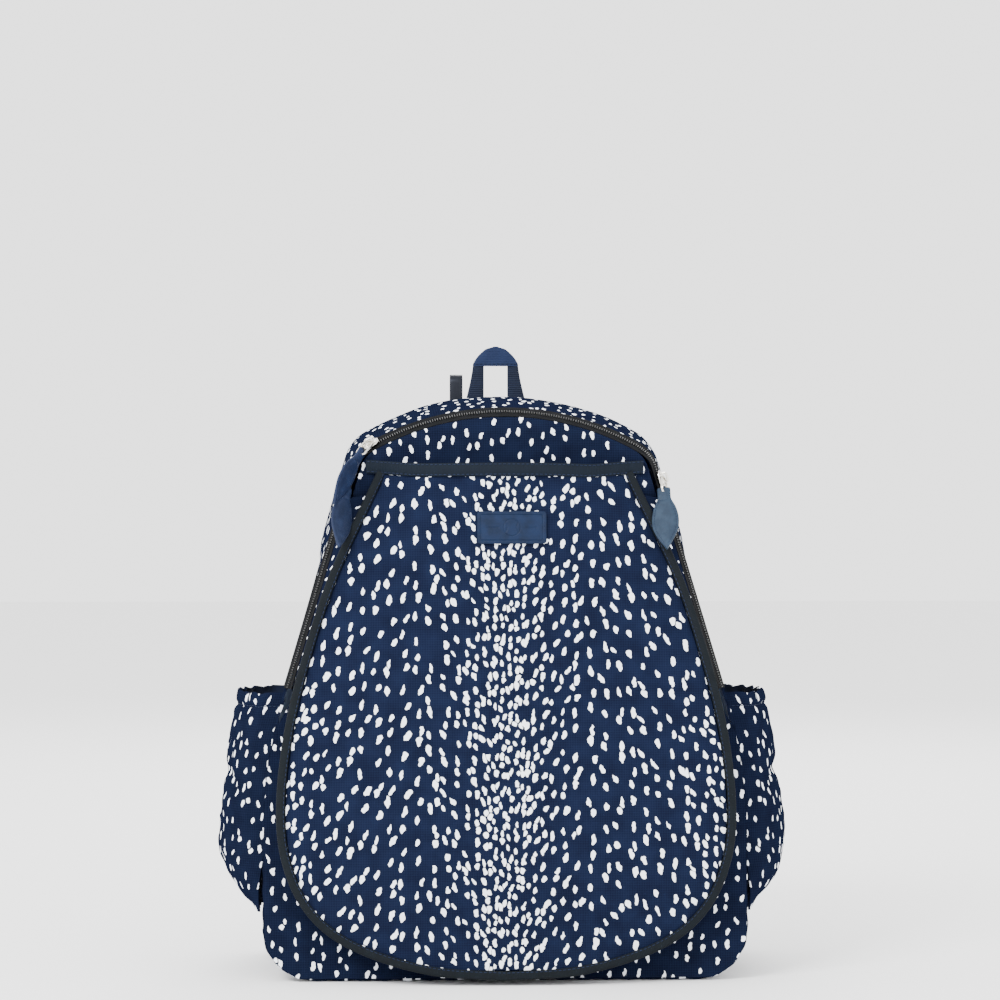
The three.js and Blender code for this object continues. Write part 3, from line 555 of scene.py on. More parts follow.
def spot_layer(g, uv, warped, pitch, wide, tall, nearest=None, furthest=None):
    """Irregular upright spots in staggered rows. Each stays whole where its band, nearest to furthest, ends."""
    high, shear = pitch * 1.36, 0.38
    x, y, _ = g.parts(uv)
    column = g.math("DIVIDE", x, pitch)
    row = g.math("MULTIPLY_ADD", column, shear, g.math("DIVIDE", y, high))
    inputs = {"Vector": g.combine(column, row), "Scale": 1.0, "Randomness": 0.66}
    cells = g.add("TexVoronoi", inputs, voronoi_dimensions="2D")
    column, row, _ = g.parts(cells.outputs["Position"])
    row = g.math("MULTIPLY_ADD", column, -shear, row)
    centre = g.combine(g.math("MULTIPLY", column, pitch), g.math("MULTIPLY", row, high))
    dx, dy, _ = g.parts(g.vector("SUBTRACT", warped, centre))
    one, two, three = g.add("SeparateColor", {0: cells.outputs["Color"]}).outputs[:3]
    angle = g.math("MULTIPLY_ADD", one, 0.7, -0.35)
    cx, cy, _ = g.parts(centre)
    beside = g.math("ABSOLUTE", cx)
    if nearest is not None:
        lean = g.math("MULTIPLY", g.ramp(beside, 0.045, 0.075, -0.32, 0.32), g.ramp(beside, 0.008, 0.02))
        angle = g.math("SUBTRACT", angle, g.math("MULTIPLY", lean, g.math("SIGN", cx)))
    cosine, sine = g.math("COSINE", angle), g.math("SINE", angle)
    along = g.math("ADD", g.math("MULTIPLY", dx, sine), g.math("MULTIPLY", dy, cosine))
    across = g.math("SUBTRACT", g.math("MULTIPLY", dx, cosine), g.math("MULTIPLY", dy, sine))
    taper = g.math("MULTIPLY_ADD", g.math("MULTIPLY", along, g.math("SUBTRACT", two, 0.5)), 0.5 / tall, 1.0)
    a = g.math("DIVIDE", across, g.math("MULTIPLY", taper, g.math("MULTIPLY_ADD", two, wide * 0.42, wide * 0.78)))
    b = g.math("DIVIDE", along, g.math("MULTIPLY_ADD", three, tall * 0.45, tall * 0.78))
    power = g.math("MULTIPLY_ADD", one, 0.9, 1.5)
    a, b = (g.math("POWER", g.math("ABSOLUTE", value), power) for value in (a, b))
    reach = g.math("ADD", a, b)
    mask = g.ramp(reach, 1.12, 0.92)
    if nearest is not None:
        from_edge = g.math("MAXIMUM", g.math("SUBTRACT", 0.152, beside), 0.0)
        hip = g.math("ABSOLUTE", g.math("SUBTRACT", cy, 0.14))
        from_hip = g.math("MAXIMUM", g.math("SUBTRACT", hip, 0.055), 0.0)
        rim = g.math("MULTIPLY_ADD", from_edge, 1.1, g.math("MULTIPLY_ADD", from_hip, 0.6, 0.026))
        wander = g.math("MULTIPLY_ADD", g.noise(centre, 38.0, 1.0), 0.02, -0.01)
        middle = g.math("ADD", g.math("MINIMUM", beside, rim), wander)
        inside = g.math("MULTIPLY", g.math("GREATER_THAN", middle, nearest), g.math("LESS_THAN", middle, furthest))
        mask = g.math("MULTIPLY", mask, inside)
    return mask


NAVY, NAVY_DEEP, WHITE = rgb(18, 24, 43), rgb(12, 15, 30), rgb(246, 250, 255)


def printed_canvas(name, layers, depth=1.0):
    """Navy woven canvas printed with white spots; a depth below 1 darkens its navy ground as painted shade."""
    g = Graph(name, Roughness=0.9, Specular_IOR_Level=0.0)
    uv = g.uv()
    drift = g.add("TexNoise", {"Vector": uv, "Scale": 230.0, "Detail": 1.5}).outputs["Color"]
    drift = g.vector("MULTIPLY", g.vector("SUBTRACT", drift, (0.5, 0.5, 0.5)), (0.0034, 0.0034, 0))
    warped = g.vector("ADD", uv, drift)
    mask = None
    for layer in layers:
        found = spot_layer(g, uv, warped, **layer)
        mask = found if mask is None else g.math("MAXIMUM", mask, found)
    shade = g.noise(uv, 55.0, 4.0)
    ground = g.mix(g.ramp(shade, 0.2, 0.8), dimmed(NAVY_DEEP, depth), dimmed(NAVY, depth))
    threads = g.weave(uv, 0.0009, 0.22)
    ground = g.mix(g.math("MULTIPLY", threads, 0.22), ground, rgb(40, 50, 78))
    ink = g.mix(g.math("MULTIPLY", g.ramp(g.noise(uv, 900.0, 2.0), 0.4, 0.7), 0.16), WHITE, rgb(170, 176, 200))
    g.join(g.mix(mask, ground, ink), g.shader.inputs["Base Color"])
    g.bump(g.noise(uv, 130.0, 3.0), 0.12, 0.0006)
    return g.material


def plain_cloth(name, colour, light, pitch=0.0007, strength=0.3, sheen=0.1):
    g = Graph(name, Roughness=0.85, Sheen_Weight=sheen, Specular_IOR_Level=0.08)
    uv = g.uv()
    threads = g.weave(uv, pitch, strength)
    tone = g.mix(g.ramp(g.noise(uv, 80.0, 4.0), 0.3, 0.7), colour, light)
    g.join(g.mix(g.math("MULTIPLY", threads, 0.3), tone, light), g.shader.inputs["Base Color"])
    return g.material


def ribbed(name, colour, light, pitch=0.0013, strength=0.5, sheen=0.0):
    """Grosgrain or webbing: ribs across its length."""
    g = Graph(name, Roughness=0.7, Sheen_Weight=sheen, Specular_IOR_Level=0.12)
    uv = g.uv()
    x, y, _ = g.parts(uv)
    ribs = g.waves(x, pitch)
    strands = g.waves(y, pitch * 0.55)
    height = g.math("MULTIPLY_ADD", strands, 0.25, ribs)
    g.bump(height, strength, 0.0003)
    tone = g.mix(g.ramp(g.noise(uv, 120.0, 4.0), 0.3, 0.7), colour, light)
    g.join(g.mix(g.math("MULTIPLY", ribs, 0.45), colour, tone), g.shader.inputs["Base Color"])
    return g.material


def leather(name, colour, light):
    g = Graph(name, Specular_IOR_Level=0.12, Coat_Weight=0.01, Coat_Roughness=0.4)
    at = g.place()
    pebbles = g.add("TexVoronoi", {"Vector": at, "Scale": 1300.0}, feature="DISTANCE_TO_EDGE").outputs["Distance"]
    creases = g.noise(at, 420.0, 5.0)
    g.bump(g.ramp(pebbles, 0.0, 0.25), 0.28, 0.00025)
    g.bump(creases, 0.3, 0.0003)
    tone = g.mix(g.ramp(g.noise(at, 110.0, 4.0), 0.32, 0.68), colour, light)
    # Painted shade: the crevices between the pebbles of the grain are darkened towards the base colour.
    grain_crevice_shade = g.mix(g.math("MULTIPLY", g.ramp(pebbles, 0.12, 0.0), 0.35), tone, colour)
    g.join(grain_crevice_shade, g.shader.inputs["Base Color"])
    g.join(g.ramp(creases, 0.3, 0.75, 0.38, 0.58), g.shader.inputs["Roughness"])
    return g.material


def metal(name, colour, low=0.14, high=0.32):
    g = Graph(name, Base_Color=colour, Metallic=1.0)
    at = g.place()
    smudge = g.noise(at, 260.0, 5.0)
    g.join(g.ramp(smudge, 0.3, 0.75, low, high), g.shader.inputs["Roughness"])
    g.bump(g.noise(at, 2400.0, 2.0), 0.05, 0.0001)
    return g.material


def moulded(name, colour, light, roughness, grain=1500.0):
    g = Graph(name, Specular_IOR_Level=0.3)
    at = g.place()
    fine = g.noise(at, grain, 3.0)
    g.bump(fine, 0.18, 0.0002)
    g.join(g.mix(g.ramp(g.noise(at, 90.0, 4.0), 0.35, 0.7), colour, light), g.shader.inputs["Base Color"])
    g.join(g.ramp(fine, 0.3, 0.7, roughness - 0.06, roughness + 0.12), g.shader.inputs["Roughness"])
    return g.material


def air_mesh(name, colour, hole_painted_shade):
    """Spacer mesh: rows of small holes between knitted threads, the holes painted near black as shade."""
    g = Graph(name, Roughness=0.9, Sheen_Weight=0.2, Specular_IOR_Level=0.2)
    uv = g.uv()
    x, y, _ = g.parts(uv)
    pitch = 0.0034
    a = g.waves(x, pitch)
    b = g.waves(g.math("ADD", y, g.math("MULTIPLY", x, 0.5)), pitch)
    holes = g.ramp(g.math("MULTIPLY", a, b), 0.45, 0.75)
    threads = g.weave(uv, 0.0006, 0.25)
    g.bump(g.math("SUBTRACT", 1.0, holes), 0.7, 0.0009)
    tone = g.mix(g.math("MULTIPLY", threads, 0.3), colour, rgb(44, 56, 88))
    # Painted shade: the holes take the near-black colour.
    g.join(g.mix(holes, tone, hole_painted_shade), g.shader.inputs["Base Color"])
    return g.material


FACE_LAYERS = [
    dict(pitch=5.1 * MM, wide=1.38 * MM, tall=2.5 * MM, nearest=-1.0, furthest=0.014),
    dict(pitch=6.3 * MM, wide=1.5 * MM, tall=2.9 * MM, nearest=0.014, furthest=0.03),
    dict(pitch=8.0 * MM, wide=1.52 * MM, tall=3.1 * MM, nearest=0.03, furthest=0.052),
    dict(pitch=9.8 * MM, wide=1.62 * MM, tall=3.5 * MM, nearest=0.052, furthest=1.0),
]
canvas_face = printed_canvas("spotted_canvas_face", FACE_LAYERS)
# The wall canvas is the face's cloth with its navy ground darkened to 0.74: painted shade for the sides, pockets and
# other surfaces turned from the light.
canvas_wall_painted_shade = printed_canvas("spotted_canvas", [dict(pitch=9.6 * MM, wide=1.32 * MM, tall=2.75 * MM)], 0.74)
pocket_lining = plain_cloth("pocket_lining_cloth", rgb(16, 22, 40), rgb(26, 34, 56))
lining = plain_cloth("lining_cloth", rgb(118, 138, 172), rgb(130, 150, 182))
binding = ribbed("binding_grosgrain", rgb(5, 10, 15), rgb(12, 21, 29), pitch=0.0012)
mouth_tape = ribbed("mouth_grosgrain", rgb(5, 13, 23), rgb(10, 21, 34), pitch=0.0012)
zip_cloth = plain_cloth("zip_tape_cloth", rgb(5, 6, 8), rgb(11, 12, 15), pitch=0.0008, strength=0.4, sheen=0.0)
coil = moulded("zip_coil_nylon", rgb(5, 6, 7), rgb(11, 12, 14), roughness=0.45)
nickel = metal("polished_nickel", rgb(222, 219, 211))
hide = leather("label_leather", rgb(8, 21, 42), rgb(12, 28, 54))
# One pull leather in three copies toned for how light falls on each: the right pull's lighter copy is painted light,
# the main and left pulls' darker copies are painted shade.
pull_hide = {
    "main": leather("pull_leather_painted_shade", rgb(20, 29, 52), rgb(30, 41, 68)),
    "left": leather("pull_leather_painted_deep_shade", rgb(18, 27, 48), rgb(28, 38, 62)),
    "right": leather("pull_leather_painted_light", rgb(30, 42, 57), rgb(40, 54, 70)),
}
hide_edge = moulded("leather_edge_paint", rgb(14, 22, 40), rgb(22, 32, 54), roughness=0.4)
web = ribbed("webbing_navy", rgb(15, 21, 36), rgb(28, 37, 60), pitch=0.0017, strength=0.7, sheen=0.03)
# The roof's webbing is the navy webbing made lighter: painted light on the loop's roof, whose face turns up to the
# light.
web_painted_light = ribbed("webbing_roof_painted_light", rgb(20, 30, 56), rgb(29, 42, 72), strength=0.4)
thread = ribbed("sewing_thread", rgb(20, 28, 48), rgb(40, 50, 76), pitch=0.0006, strength=0.4)
mesh_cloth = air_mesh("air_mesh", rgb(20, 28, 50), rgb(5, 7, 14))
black_steel = metal("coated_steel", rgb(38, 40, 46), 0.3, 0.5)
foam = moulded("foam_sheet", rgb(205, 205, 198), rgb(226, 226, 220), roughness=0.9, grain=900.0)
board = moulded("stiffener_board", rgb(40, 43, 48), rgb(56, 60, 66), roughness=0.55)
plastic = moulded("buckle_plastic", rgb(14, 17, 24), rgb(26, 30, 38), roughness=0.42)

OUT = {"left": (-2000, 0, 200), "right": (2000, 0, 200), "front": (0, -2000, 200), "back": (0, 2000, 200)}
SIDES = (("left", -1), ("right", 1))


def grid(nu, nv):
    return np.meshgrid(np.linspace(0, 1, nu), np.linspace(0, 1, nv), indexing="ij")


# ------------------------------------------------------------------ body walls
def body_panel(name, node, start, stop, nu, nv, outward):
    """One panel of the gusset, with the soft waves of cloth between two seams."""
    u, v = grid(nu, nv)
    s = lerp(start, stop, u)
    x, w, nx, nw = edge(s)
    along = s * HALF_LENGTH
    depth = lerp(FRONT_Y + w * math.sin(LEAN), BACK_Y, v)
    loose = np.sin(np.pi * v) ** 0.8
    ripple = 1.3 * noise(along, depth, 62, 3) + 0.5 * noise(along, depth, 20, 9)
    ripple = ripple + 1.6 * noise(along * 1.2, depth, 26, 13) * smooth(w, 4, 26) * (1 - smooth(w, 30, 90))
    pucker = 0.35 * np.sin(along / 2.6) * np.exp(-np.minimum(v, 1 - v) * (BACK_Y - FRONT_Y) / 5)
    inset = 0.5 - ripple * loose - pucker
    points = wall(s, v, inset)
    uv = np.stack([depth, along], -1) if abs(start) < 1 and start * stop > 0 else np.stack([along, depth], -1)
    obj = cloth(name, points, uv, 2.0, [canvas_wall_painted_shade, lining], outward)
    return finished(obj, "bag", [node])


def body():
    gap = 0.1 / HALF_LENGTH
    body_panel("gusset_top_cloth", "top_gusset", -SHOULDER_END + gap, SHOULDER_END - gap, 130, 60, (0, 0, 3000))
    for side, sign in SIDES:
        start, stop = sorted((sign * SHOULDER_END, sign * WALL_END))
        body_panel(f"side_cloth_{side}", f"side_panel_{side}", start + gap, stop - gap, 170, 70, OUT[side])
    body_panel("base_cloth", "base_panel", WALL_END + gap, 2 - WALL_END - gap, 150, 50, (0, 0, -3000))
    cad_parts["base_board"].data.materials.clear()
    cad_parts["base_board"].data.materials.append(board)


def inner_front():
    """The main compartment's front, which is seen in the racket pocket's mouth and at the lower corners."""
    u, v = grid(110, 150)
    w = 2 + (HEIGHT - 10.6) * (1 - (1 - v) ** 1.7)
    forward = smooth(w, 325, 372)
    offset = np.where(w < 300, lerp(-1.2, -7.2, smooth(w, FOLD - 34, FOLD - 8)), lerp(-7.2, -8.4, forward))
    reach = half_width(np.maximum(w, CORNER)) + offset
    reach = np.where(w > 300, half_width(w, -8.4), reach)
    reach = np.where(w < CORNER, HALF_WIDTH - 1.4 - corner_cut(w), reach)
    near = 1 - np.abs(2 * u - 1)
    x = (2 * u - 1) * np.maximum(reach, 0.5)
    swell = 3.0 * smooth(np.abs(x), 120, 165) * smooth(w, 0, 30) * (1 - smooth(w, 120, 200))
    inside = smooth(near * reach, 0, 12) * smooth(HEIGHT - w, 8, 20)
    low = smooth(np.abs(x), 95, 150) * (1 - smooth(w, 40, 110))
    folds = 1.8 * noise(x * 0.7 + w, w * 1.3 - x * 0.4, 24, 25) * low
    ripple = (1.1 * noise(x, w, 52, 21) + 0.35 * noise(x, w, 17, 23) + folds) * inside
    y = -lerp(2.7, lerp(11.3, 13.5, inside), forward) - swell * (1 - np.abs(2 * u - 1) ** 12) + ripple
    uv = np.stack([x + 3, w], -1)
    obj = cloth("inner_front_cloth", on_front(x, y, w), uv, 1.8, [canvas_wall_painted_shade, lining], OUT["front"])
    nodes = ["inner_front_lower", "inner_front_upper"]
    finished(obj, replaces=nodes, blend=fold_ends(5))


def fold_ends(reach):
    """Points on the front, `reach` below and above the flap's fold, for a piece that crosses the fold."""
    low, high = on_front(0, 0, FOLD - reach) * MM, on_front(0, 0, FOLD + reach) * MM
    return tuple(low), tuple(high)


# ------------------------------------------------------------------ racket pocket
def racket_face():
    """The padded outer face of the racket pocket, filled out and a little uneven."""
    u, v = grid(120, 190)
    low = TEAR[0][1] + 3.6
    bent, bend_end = 0.35, 100
    start = low + (bend_end - low) * (1 - np.cos(v / bent * np.pi / 2))
    w = np.where(v < bent, start, lerp(bend_end, MOUTH, (v - bent) / 0.65))
    reach = np.maximum(tear_width(w) - 3.2, 1)
    x = (2 * u - 1) * reach
    w = w + (mouth_at(x) - MOUTH) * smooth(v, 0.9, 1)
    near = np.minimum(reach - np.abs(x), w - 8)
    free = smooth(near, 0, 26)
    ripple = 1.1 * noise(x, w, 75, 31) + 0.55 * noise(x * 1.6, w, 30, 33)
    pucker = 0.5 * np.exp(-np.maximum(near, 0) / 7) * noise(x + w, w - x, 6.5, 41, 1)
    y = -face_depth(x, w, reach) + 0.6 - ripple * free - pucker
    uv = np.stack([x, w], -1)
    return cloth("racket_pocket_cloth", on_front(x, y, w), uv, 3.0, [canvas_face, lining], OUT["front"])


def tear_path(high, steps):
    """Round the racket pocket's edge, from the left over the bottom to the right: x, height and outward normal."""
    last, ahead = TEAR_POINTS[-1], TEAR_AHEAD[-1]
    points = TEAR_POINTS
    if high > last[1]:
        points = np.concatenate([points, [last + ahead * (high + 4 - last[1]) / ahead[1]]])
    along = lengths(points)
    aheads = np.concatenate([TEAR_AHEAD, [ahead]])[: len(points)]
    top = np.interp(high, points[:, 1], along)
    t = np.linspace(-top, top, steps)
    x, w = (np.interp(np.abs(t), along, points[:, k]) for k in (0, 1))
    ax, aw = (np.interp(np.abs(t), along, aheads[:, k]) for k in (0, 1))
    side = np.where(t < 0, -1, 1)
    return side * x, w, side * aw, -ax


FRONT_OUT = [0, -math.cos(LEAN), math.sin(LEAN)]


def front_directions(nx, nw):
    """World directions of an outline's normal on the leaning front, and of the way out of the front."""
    across = np.stack([nx, nw * math.sin(LEAN), nw * math.cos(LEAN)], -1)
    out = np.broadcast_to(FRONT_OUT, across.shape)
    return across, out


def racket_pocket():
    face = racket_face()
    nodes = ["racket_face_lower", "racket_face_fold", "racket_face_upper"]
    finished(face, replaces=nodes, blend=fold_ends(20))

    # Its side wall, between the zip's inner tape and the face.
    x, w, nx, nw = tear_path(MOUTH - 12, 260)
    rows = np.linspace(0, 1, 9)[None]
    high = smooth(w, FOLD - 10, FOLD + 20)[:, None]
    e = band(np.sign(x) * share_at(w), 14.2, 0.0)
    start = on_front(x + nx * 2.0, -edge_depth(w) + 1.6, np.maximum(w + nw * 2.0, 0.4))
    end = on_front(x + nx * 4.2, -3.1, np.maximum(w + nw * 4.2, 0.7))
    finish = lerp(end[:, None], e[:, None], high[..., None])
    points = lerp(start[:, None], finish, rows[..., None])
    bow = np.sin(np.pi * rows)[..., None] * 0.9
    across, _ = front_directions(nx, nw)
    points = points + across[:, None] * bow * (1 - high[..., None])
    along = np.cumsum(np.linalg.norm(np.gradient(on_front(x, 0 * x, w), axis=0), axis=1))
    uv = np.stack(np.broadcast_arrays(along[:, None], rows * 24), -1)
    obj = cloth("racket_pocket_wall", points, uv, 1.2, [canvas_wall_painted_shade, lining], (0, -200, -3000))
    skirts = ["racket_skirt_lower", "racket_skirt_left", "racket_skirt_right"]
    finished(obj, replaces=skirts, blend=fold_ends(16))

    # Grosgrain binding folded over the seam, and its row of stitches.
    x, w, nx, nw = tear_path(MOUTH + 5, 430)
    across, out = front_directions(nx, nw)
    depth = edge_depth(w)
    centre = on_front(x + nx * 0.6, -depth - 0.7, w + nw * 0.6)
    wobble = 1 + 0.04 * noise(np.arange(len(x)) * 1.0, 0 * x, 14, 51)
    section = rounded_section(3.3, 1.8, 18)[None] * wobble[:, None, None]
    obj = sweep("edge_binding_tape", centre, across, out, section, [binding])
    edges = ["edge_binding_lower", "edge_binding_left", "edge_binding_right"]
    finished(obj, replaces=edges, blend=fold_ends(20))
    row = on_front(x - nx * 1.6, -depth - 2.45, w - nw * 1.6)
    finished(stitches("edge_binding_stitches", row, out, thread), blend=fold_ends(20))


def mouth():
    """Ribbed tape over the mouth's edge, from one side zip to the other, sewn at its lower and upper edge."""
    reach = float(band(share_at(MOUTH + MOUTH_RISE + MOUTH_BAND + 6), 16.2, 0.0)[0]) - 1
    inner = float(tear_width(MOUTH)) - 4
    u, v = grid(150, 9)
    x = lerp(-reach, reach, u)
    beside = lerp(CORNER_DEPTH, ZIP_BAND + 1, smooth(np.abs(x), inner, reach))
    depth = np.where(np.abs(x) <= inner, face_depth(x, MOUTH, inner), beside)
    w = mouth_at(x) + 0.2 + v * (MOUTH_BAND - 0.2) + 0.5 * noise(x, 0 * x, 40, 61)
    y = -depth - 0.9 - 0.7 * np.sin(np.pi * v) + 0.5 * noise(x, v * 8, 30, 63)
    points = on_front(x, y, w)
    obj = cloth("mouth_binding_tape", points, np.stack([x, w], -1), 2.4, [mouth_tape], OUT["front"])
    finished(obj, "front_flap", ["mouth_binding"])
    normal = normals_of(points)
    normal *= -np.sign(normal[75, 4, 1])
    for name, column in (("lower", 1), ("upper", 7)):
        path, out = points[:, column] + normal[:, column] * 0.1, normal[:, column]
        row = stitches(f"mouth_stitches_{name}", path, out, thread)
        finished(row, "front_flap")


def label():
    """Leather label with a pressed border line and a plain pressed ball mark."""
    wide, high, x0, w0 = 51, 24, 4, 332
    u, v = grid(150, 76)
    a, b = (2 * u - 1) * wide / 2, (2 * v - 1) * high / 2
    corner = 2.4
    cut = corner - np.sqrt(np.maximum(corner**2 - (np.abs(b) - high / 2 + corner) ** 2, 0))
    limit = wide / 2 - np.where(np.abs(b) > high / 2 - corner, cut, 0)
    a = a * limit / (wide / 2)
    border = np.maximum(np.abs(a) - (wide / 2 - 2.6), np.abs(b) - (high / 2 - 2.6))
    groove = 0.42 * np.exp(-((border / 0.32) ** 2))
    radius = np.hypot(a, b)
    marks = [np.abs(radius - 6.2)]
    marks += [np.abs(np.hypot(a - sign * 8.6, b) - 5.2) + 9 * (radius > 6.2) for sign in (-1, 1)]
    marks += [np.abs(b) + 9 * ((np.abs(a) < 9.5) | (np.abs(a) > 18.5))]
    for mark in marks:
        groove = np.maximum(groove, 0.4 * np.exp(-((mark / 0.34) ** 2)))
    edge_round = 0.5 * smooth(border, 1.9, 2.6)
    y = -FACE_DEPTH - 1.75 + groove + edge_round + 0.5 * (np.abs(a) / 25) ** 2
    uv = np.stack([a, b], -1)
    obj = cloth("label_leather", on_front(x0 + a, y, w0 + b), uv, 1.3, [hide, hide_edge], OUT["front"])
    finished(obj, "front_flap", ["label"])
    corners = [(-1, -1), (1, -1), (1, 1), (-1, 1), (-1, -1)]
    ring = np.array([(p * (wide / 2 - 1.35), q * (high / 2 - 1.35)) for p, q in corners])
    path = np.concatenate([np.linspace(ring[k], ring[k + 1], 40, endpoint=False) for k in range(4)])
    row = on_front(x0 + path[:, 0], -FACE_DEPTH - 1.65 + 0.5 * (np.abs(path[:, 0]) / 25) ** 2, w0 + path[:, 1])
    out = np.tile(FRONT_OUT, (len(row), 1))
    finished(stitches("label_stitches", row, out, thread, pitch=2.6, length=1.8, radius=0.24), "front_flap")


# ------------------------------------------------------------------ zips
COIL = TAPE + 0.6
ROW = 1.3
COIL_MIDDLE = COIL + ROW + 0.15
ZIP_END = float(share_at(FOLD + 2))


def teeth(name, start, stop, t, sign, body, node):
    """One row of coil teeth: a rounded loop for each, leaning into the other row."""
    length = abs(stop - start) * HALF_LENGTH
    count = int(length / 1.9)
    s = start + (np.arange(count) + 0.5) / count * (stop - start)
    step = 0.4 * (stop - start) / count
    sides = 8
    angle = np.linspace(0, 2 * np.pi, sides, endpoint=False)
    vertices, faces = [], []
    profile = [(-0.95, 0.35), (-0.7, 0.9), (0.2, 1.0), (0.75, 0.95), (1.05, 0.35)]
    middle = t + ROW / 2
    centre, ahead = band(s, middle, 0.15), unit(band(s + step, middle, 0.15) - band(s - step, middle, 0.15))
    out = unit(band(s, middle, 1.0) - band(s, middle, 0.0))
    across = unit(band(s, middle + 1, 0.0) - band(s, middle, 0.0)) * sign
    for k in range(count):
        base = len(vertices)
        for a, r in profile:
            for q in angle:
                spread = 0.62 * r * math.cos(q) * ahead[k] + 0.85 * r * math.sin(q) * out[k]
                vertices.append(centre[k] + across[k] * a + spread)
        faces += rod_faces(base, len(profile), sides)
    finished(face_out(new_object(name, vertices, faces, [coil])), body, [node])


def zip_tape(name, start, stop, t, body, node):
    count = max(int(abs(stop - start) * HALF_LENGTH / 3), 24)
    u, v = grid(count, 7)
    s = lerp(start, stop, u)
    along = s * HALF_LENGTH
    points = band(s, t + v * TAPE, 0.3 + 0.12 * np.sin(along / 3.1) * np.sin(np.pi * v))
    middle = points[count // 2, 3]
    outward = middle + (band(s, t, 400.0) - band(s, t, 0.0))[count // 2, 3]
    obj = cloth(name, points, np.stack([along, v * TAPE], -1), 0.55, [zip_cloth], outward)
    finished(obj, body, [node])


def zips():
    runs = {
        "top_zip": (-SHOULDER_END, SHOULDER_END),
        "left_zip": (-ZIP_END, -SHOULDER_END),
        "right_zip": (SHOULDER_END, ZIP_END),
    }
    for name, (start, stop) in runs.items():
        zip_tape(f"{name}_body_tape", start, stop, 0.3, "bag", f"{name}_outer_tape")
        zip_tape(f"{name}_flap_tape", start, stop, COIL + 2 * ROW + 0.6, "front_flap", f"{name}_inner_tape")
        teeth(f"{name}_body_teeth", start, stop, COIL, 1, "bag", f"{name}_outer_coil")
        teeth(f"{name}_flap_teeth", start, stop, COIL + ROW + 0.3, -1, "front_flap", f"{name}_inner_coil")


# Share of the outline, lean of the ring, and swing and turn of the leaf, as the frame has them.
PULLS = {
    "main": (-TOP_END, 40, 27, 58),
    "left": (-float(share_at(373)), 38, 7, 42),
    "right": (float(share_at(372)), 38, 0, -12),
}


# Height from the ring's hole and half width down the leaf.
LEAF = [(4.2, 4.0), (3.4, 4.9), (-4, 5.0), (-7, 6.0), (-12, 8.2), (-19, 9.8), (-26, 10.0), (-32, 9.0), (-38, 6.4),
        (-44, 3.3), (-48.4, 0.6)]
LEAF_LONG = 52.6


def leaf_bow(z):
    return 1.2 * math.sin((LEAF[0][0] - z) / LEAF_LONG * math.pi)


def leaf_frame(name):
    """Where a leaf hangs: its ring's hole, the leaf's side, face and up directions, and the way to the pocket."""
    s, forward, swing, turn = PULLS[name]
    at = band(s, COIL_MIDDLE, 1.4)
    out = unit(band(s, COIL_MIDDLE, 1.0) - band(s, COIL_MIDDLE, 0.0))
    inward = unit(band(s, COIL_MIDDLE + 1, 0.0) - band(s, COIL_MIDDLE, 0.0))
    along = np.cross(out, inward)
    along = along * np.sign(along[2])
    lean, tilt = math.radians(forward), math.radians(-27)
    hang = -along * math.cos(lean) + inward * math.sin(lean)
    hole = at + out * 3.15 + hang * 15.2 + inward * 1.4
    turn, swing = math.radians(turn), math.radians(swing)
    about_z = np.array([[math.cos(turn), -math.sin(turn), 0], [math.sin(turn), math.cos(turn), 0], [0, 0, 1]])
    about_x = np.array([[1, 0, 0], [0, math.cos(tilt), -math.sin(tilt)], [0, math.sin(tilt), math.cos(tilt)]])
    about_y = np.array([[math.cos(swing), 0, math.sin(swing)], [0, 1, 0], [-math.sin(swing), 0, math.cos(swing)]])
    x, y, z = (about_y @ about_x @ about_z).T
    c, s = math.cos(LEAN), math.sin(LEAN)
    world = [np.array([d[0], d[1] * c + d[2] * s, d[2] * c - d[1] * s]) for d in (x, -y, z)]
    return hole, *world, inward


def pull(name):
    """Leaf-shaped leather pull with a pressed fold and line, and a row of stitches."""
    origin, side, out, up, inward = leaf_frame(name)
    knots, _ = spline(LEAF, 80)
    rings, uv = [], []
    for z, half in knots:
        half = max(half, 0.4)
        section = rounded_section(half, 1.05, 36, 3.4)
        fold = 0.55 * math.exp(-(((z + 5.5) / 1.1) ** 2))
        crown = 0.45 * (1 - (section[:, 0] / half) ** 2)
        line = 0.26 * np.exp(-(((half - 1.9 - np.abs(section[:, 0])) / 0.4) ** 2)) * (z < -6)
        height = section[:, 1] + np.sign(section[:, 1]) * (crown - line - fold) * (np.abs(section[:, 1]) > 0.5)
        rings.append(origin + up * z + np.outer(section[:, 0], side) + np.outer(height - leaf_bow(z), out))
        uv += [(x, z) for x in section[:, 0]]
    obj = body_of_rings(f"{name}_pull_leather", rings, [pull_hide[name]], uv)
    finished(obj, f"{name}_pull_body", [f"{name}_pull"])
    border = [(half - 1.9, z) for z, half in knots if -44 < z < -7]
    path = border + [(-x, z) for x, z in border[::-1]]
    lift = [1.15 - leaf_bow(z) for _, z in path]
    row = np.array([origin + side * x + up * z + out * h for (x, z), h in zip(path, lift)])
    outs = np.tile(out, (len(row), 1))
    seam = stitches(f"{name}_pull_stitches", row, outs, thread, pitch=2.3, length=1.6, radius=0.18)
    finished(seam, f"{name}_pull_body")
    if name != "main":
        # Lower down the pocket stands taller beside the zip; here the leaf and its stitches only get meshes of their
        # own.
        for piece in (obj, seam):
            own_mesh(piece)


def sliders():
    for name in ("main", "left", "right"):
        bevelled(f"{name}_slider", f"{name}_slider_metal", f"{name}_slider_body", nickel, 0.45)
        bevelled(f"{name}_pull_ring", f"{name}_ring_metal", f"{name}_pull_body", nickel, 0.5)
        pull(name)


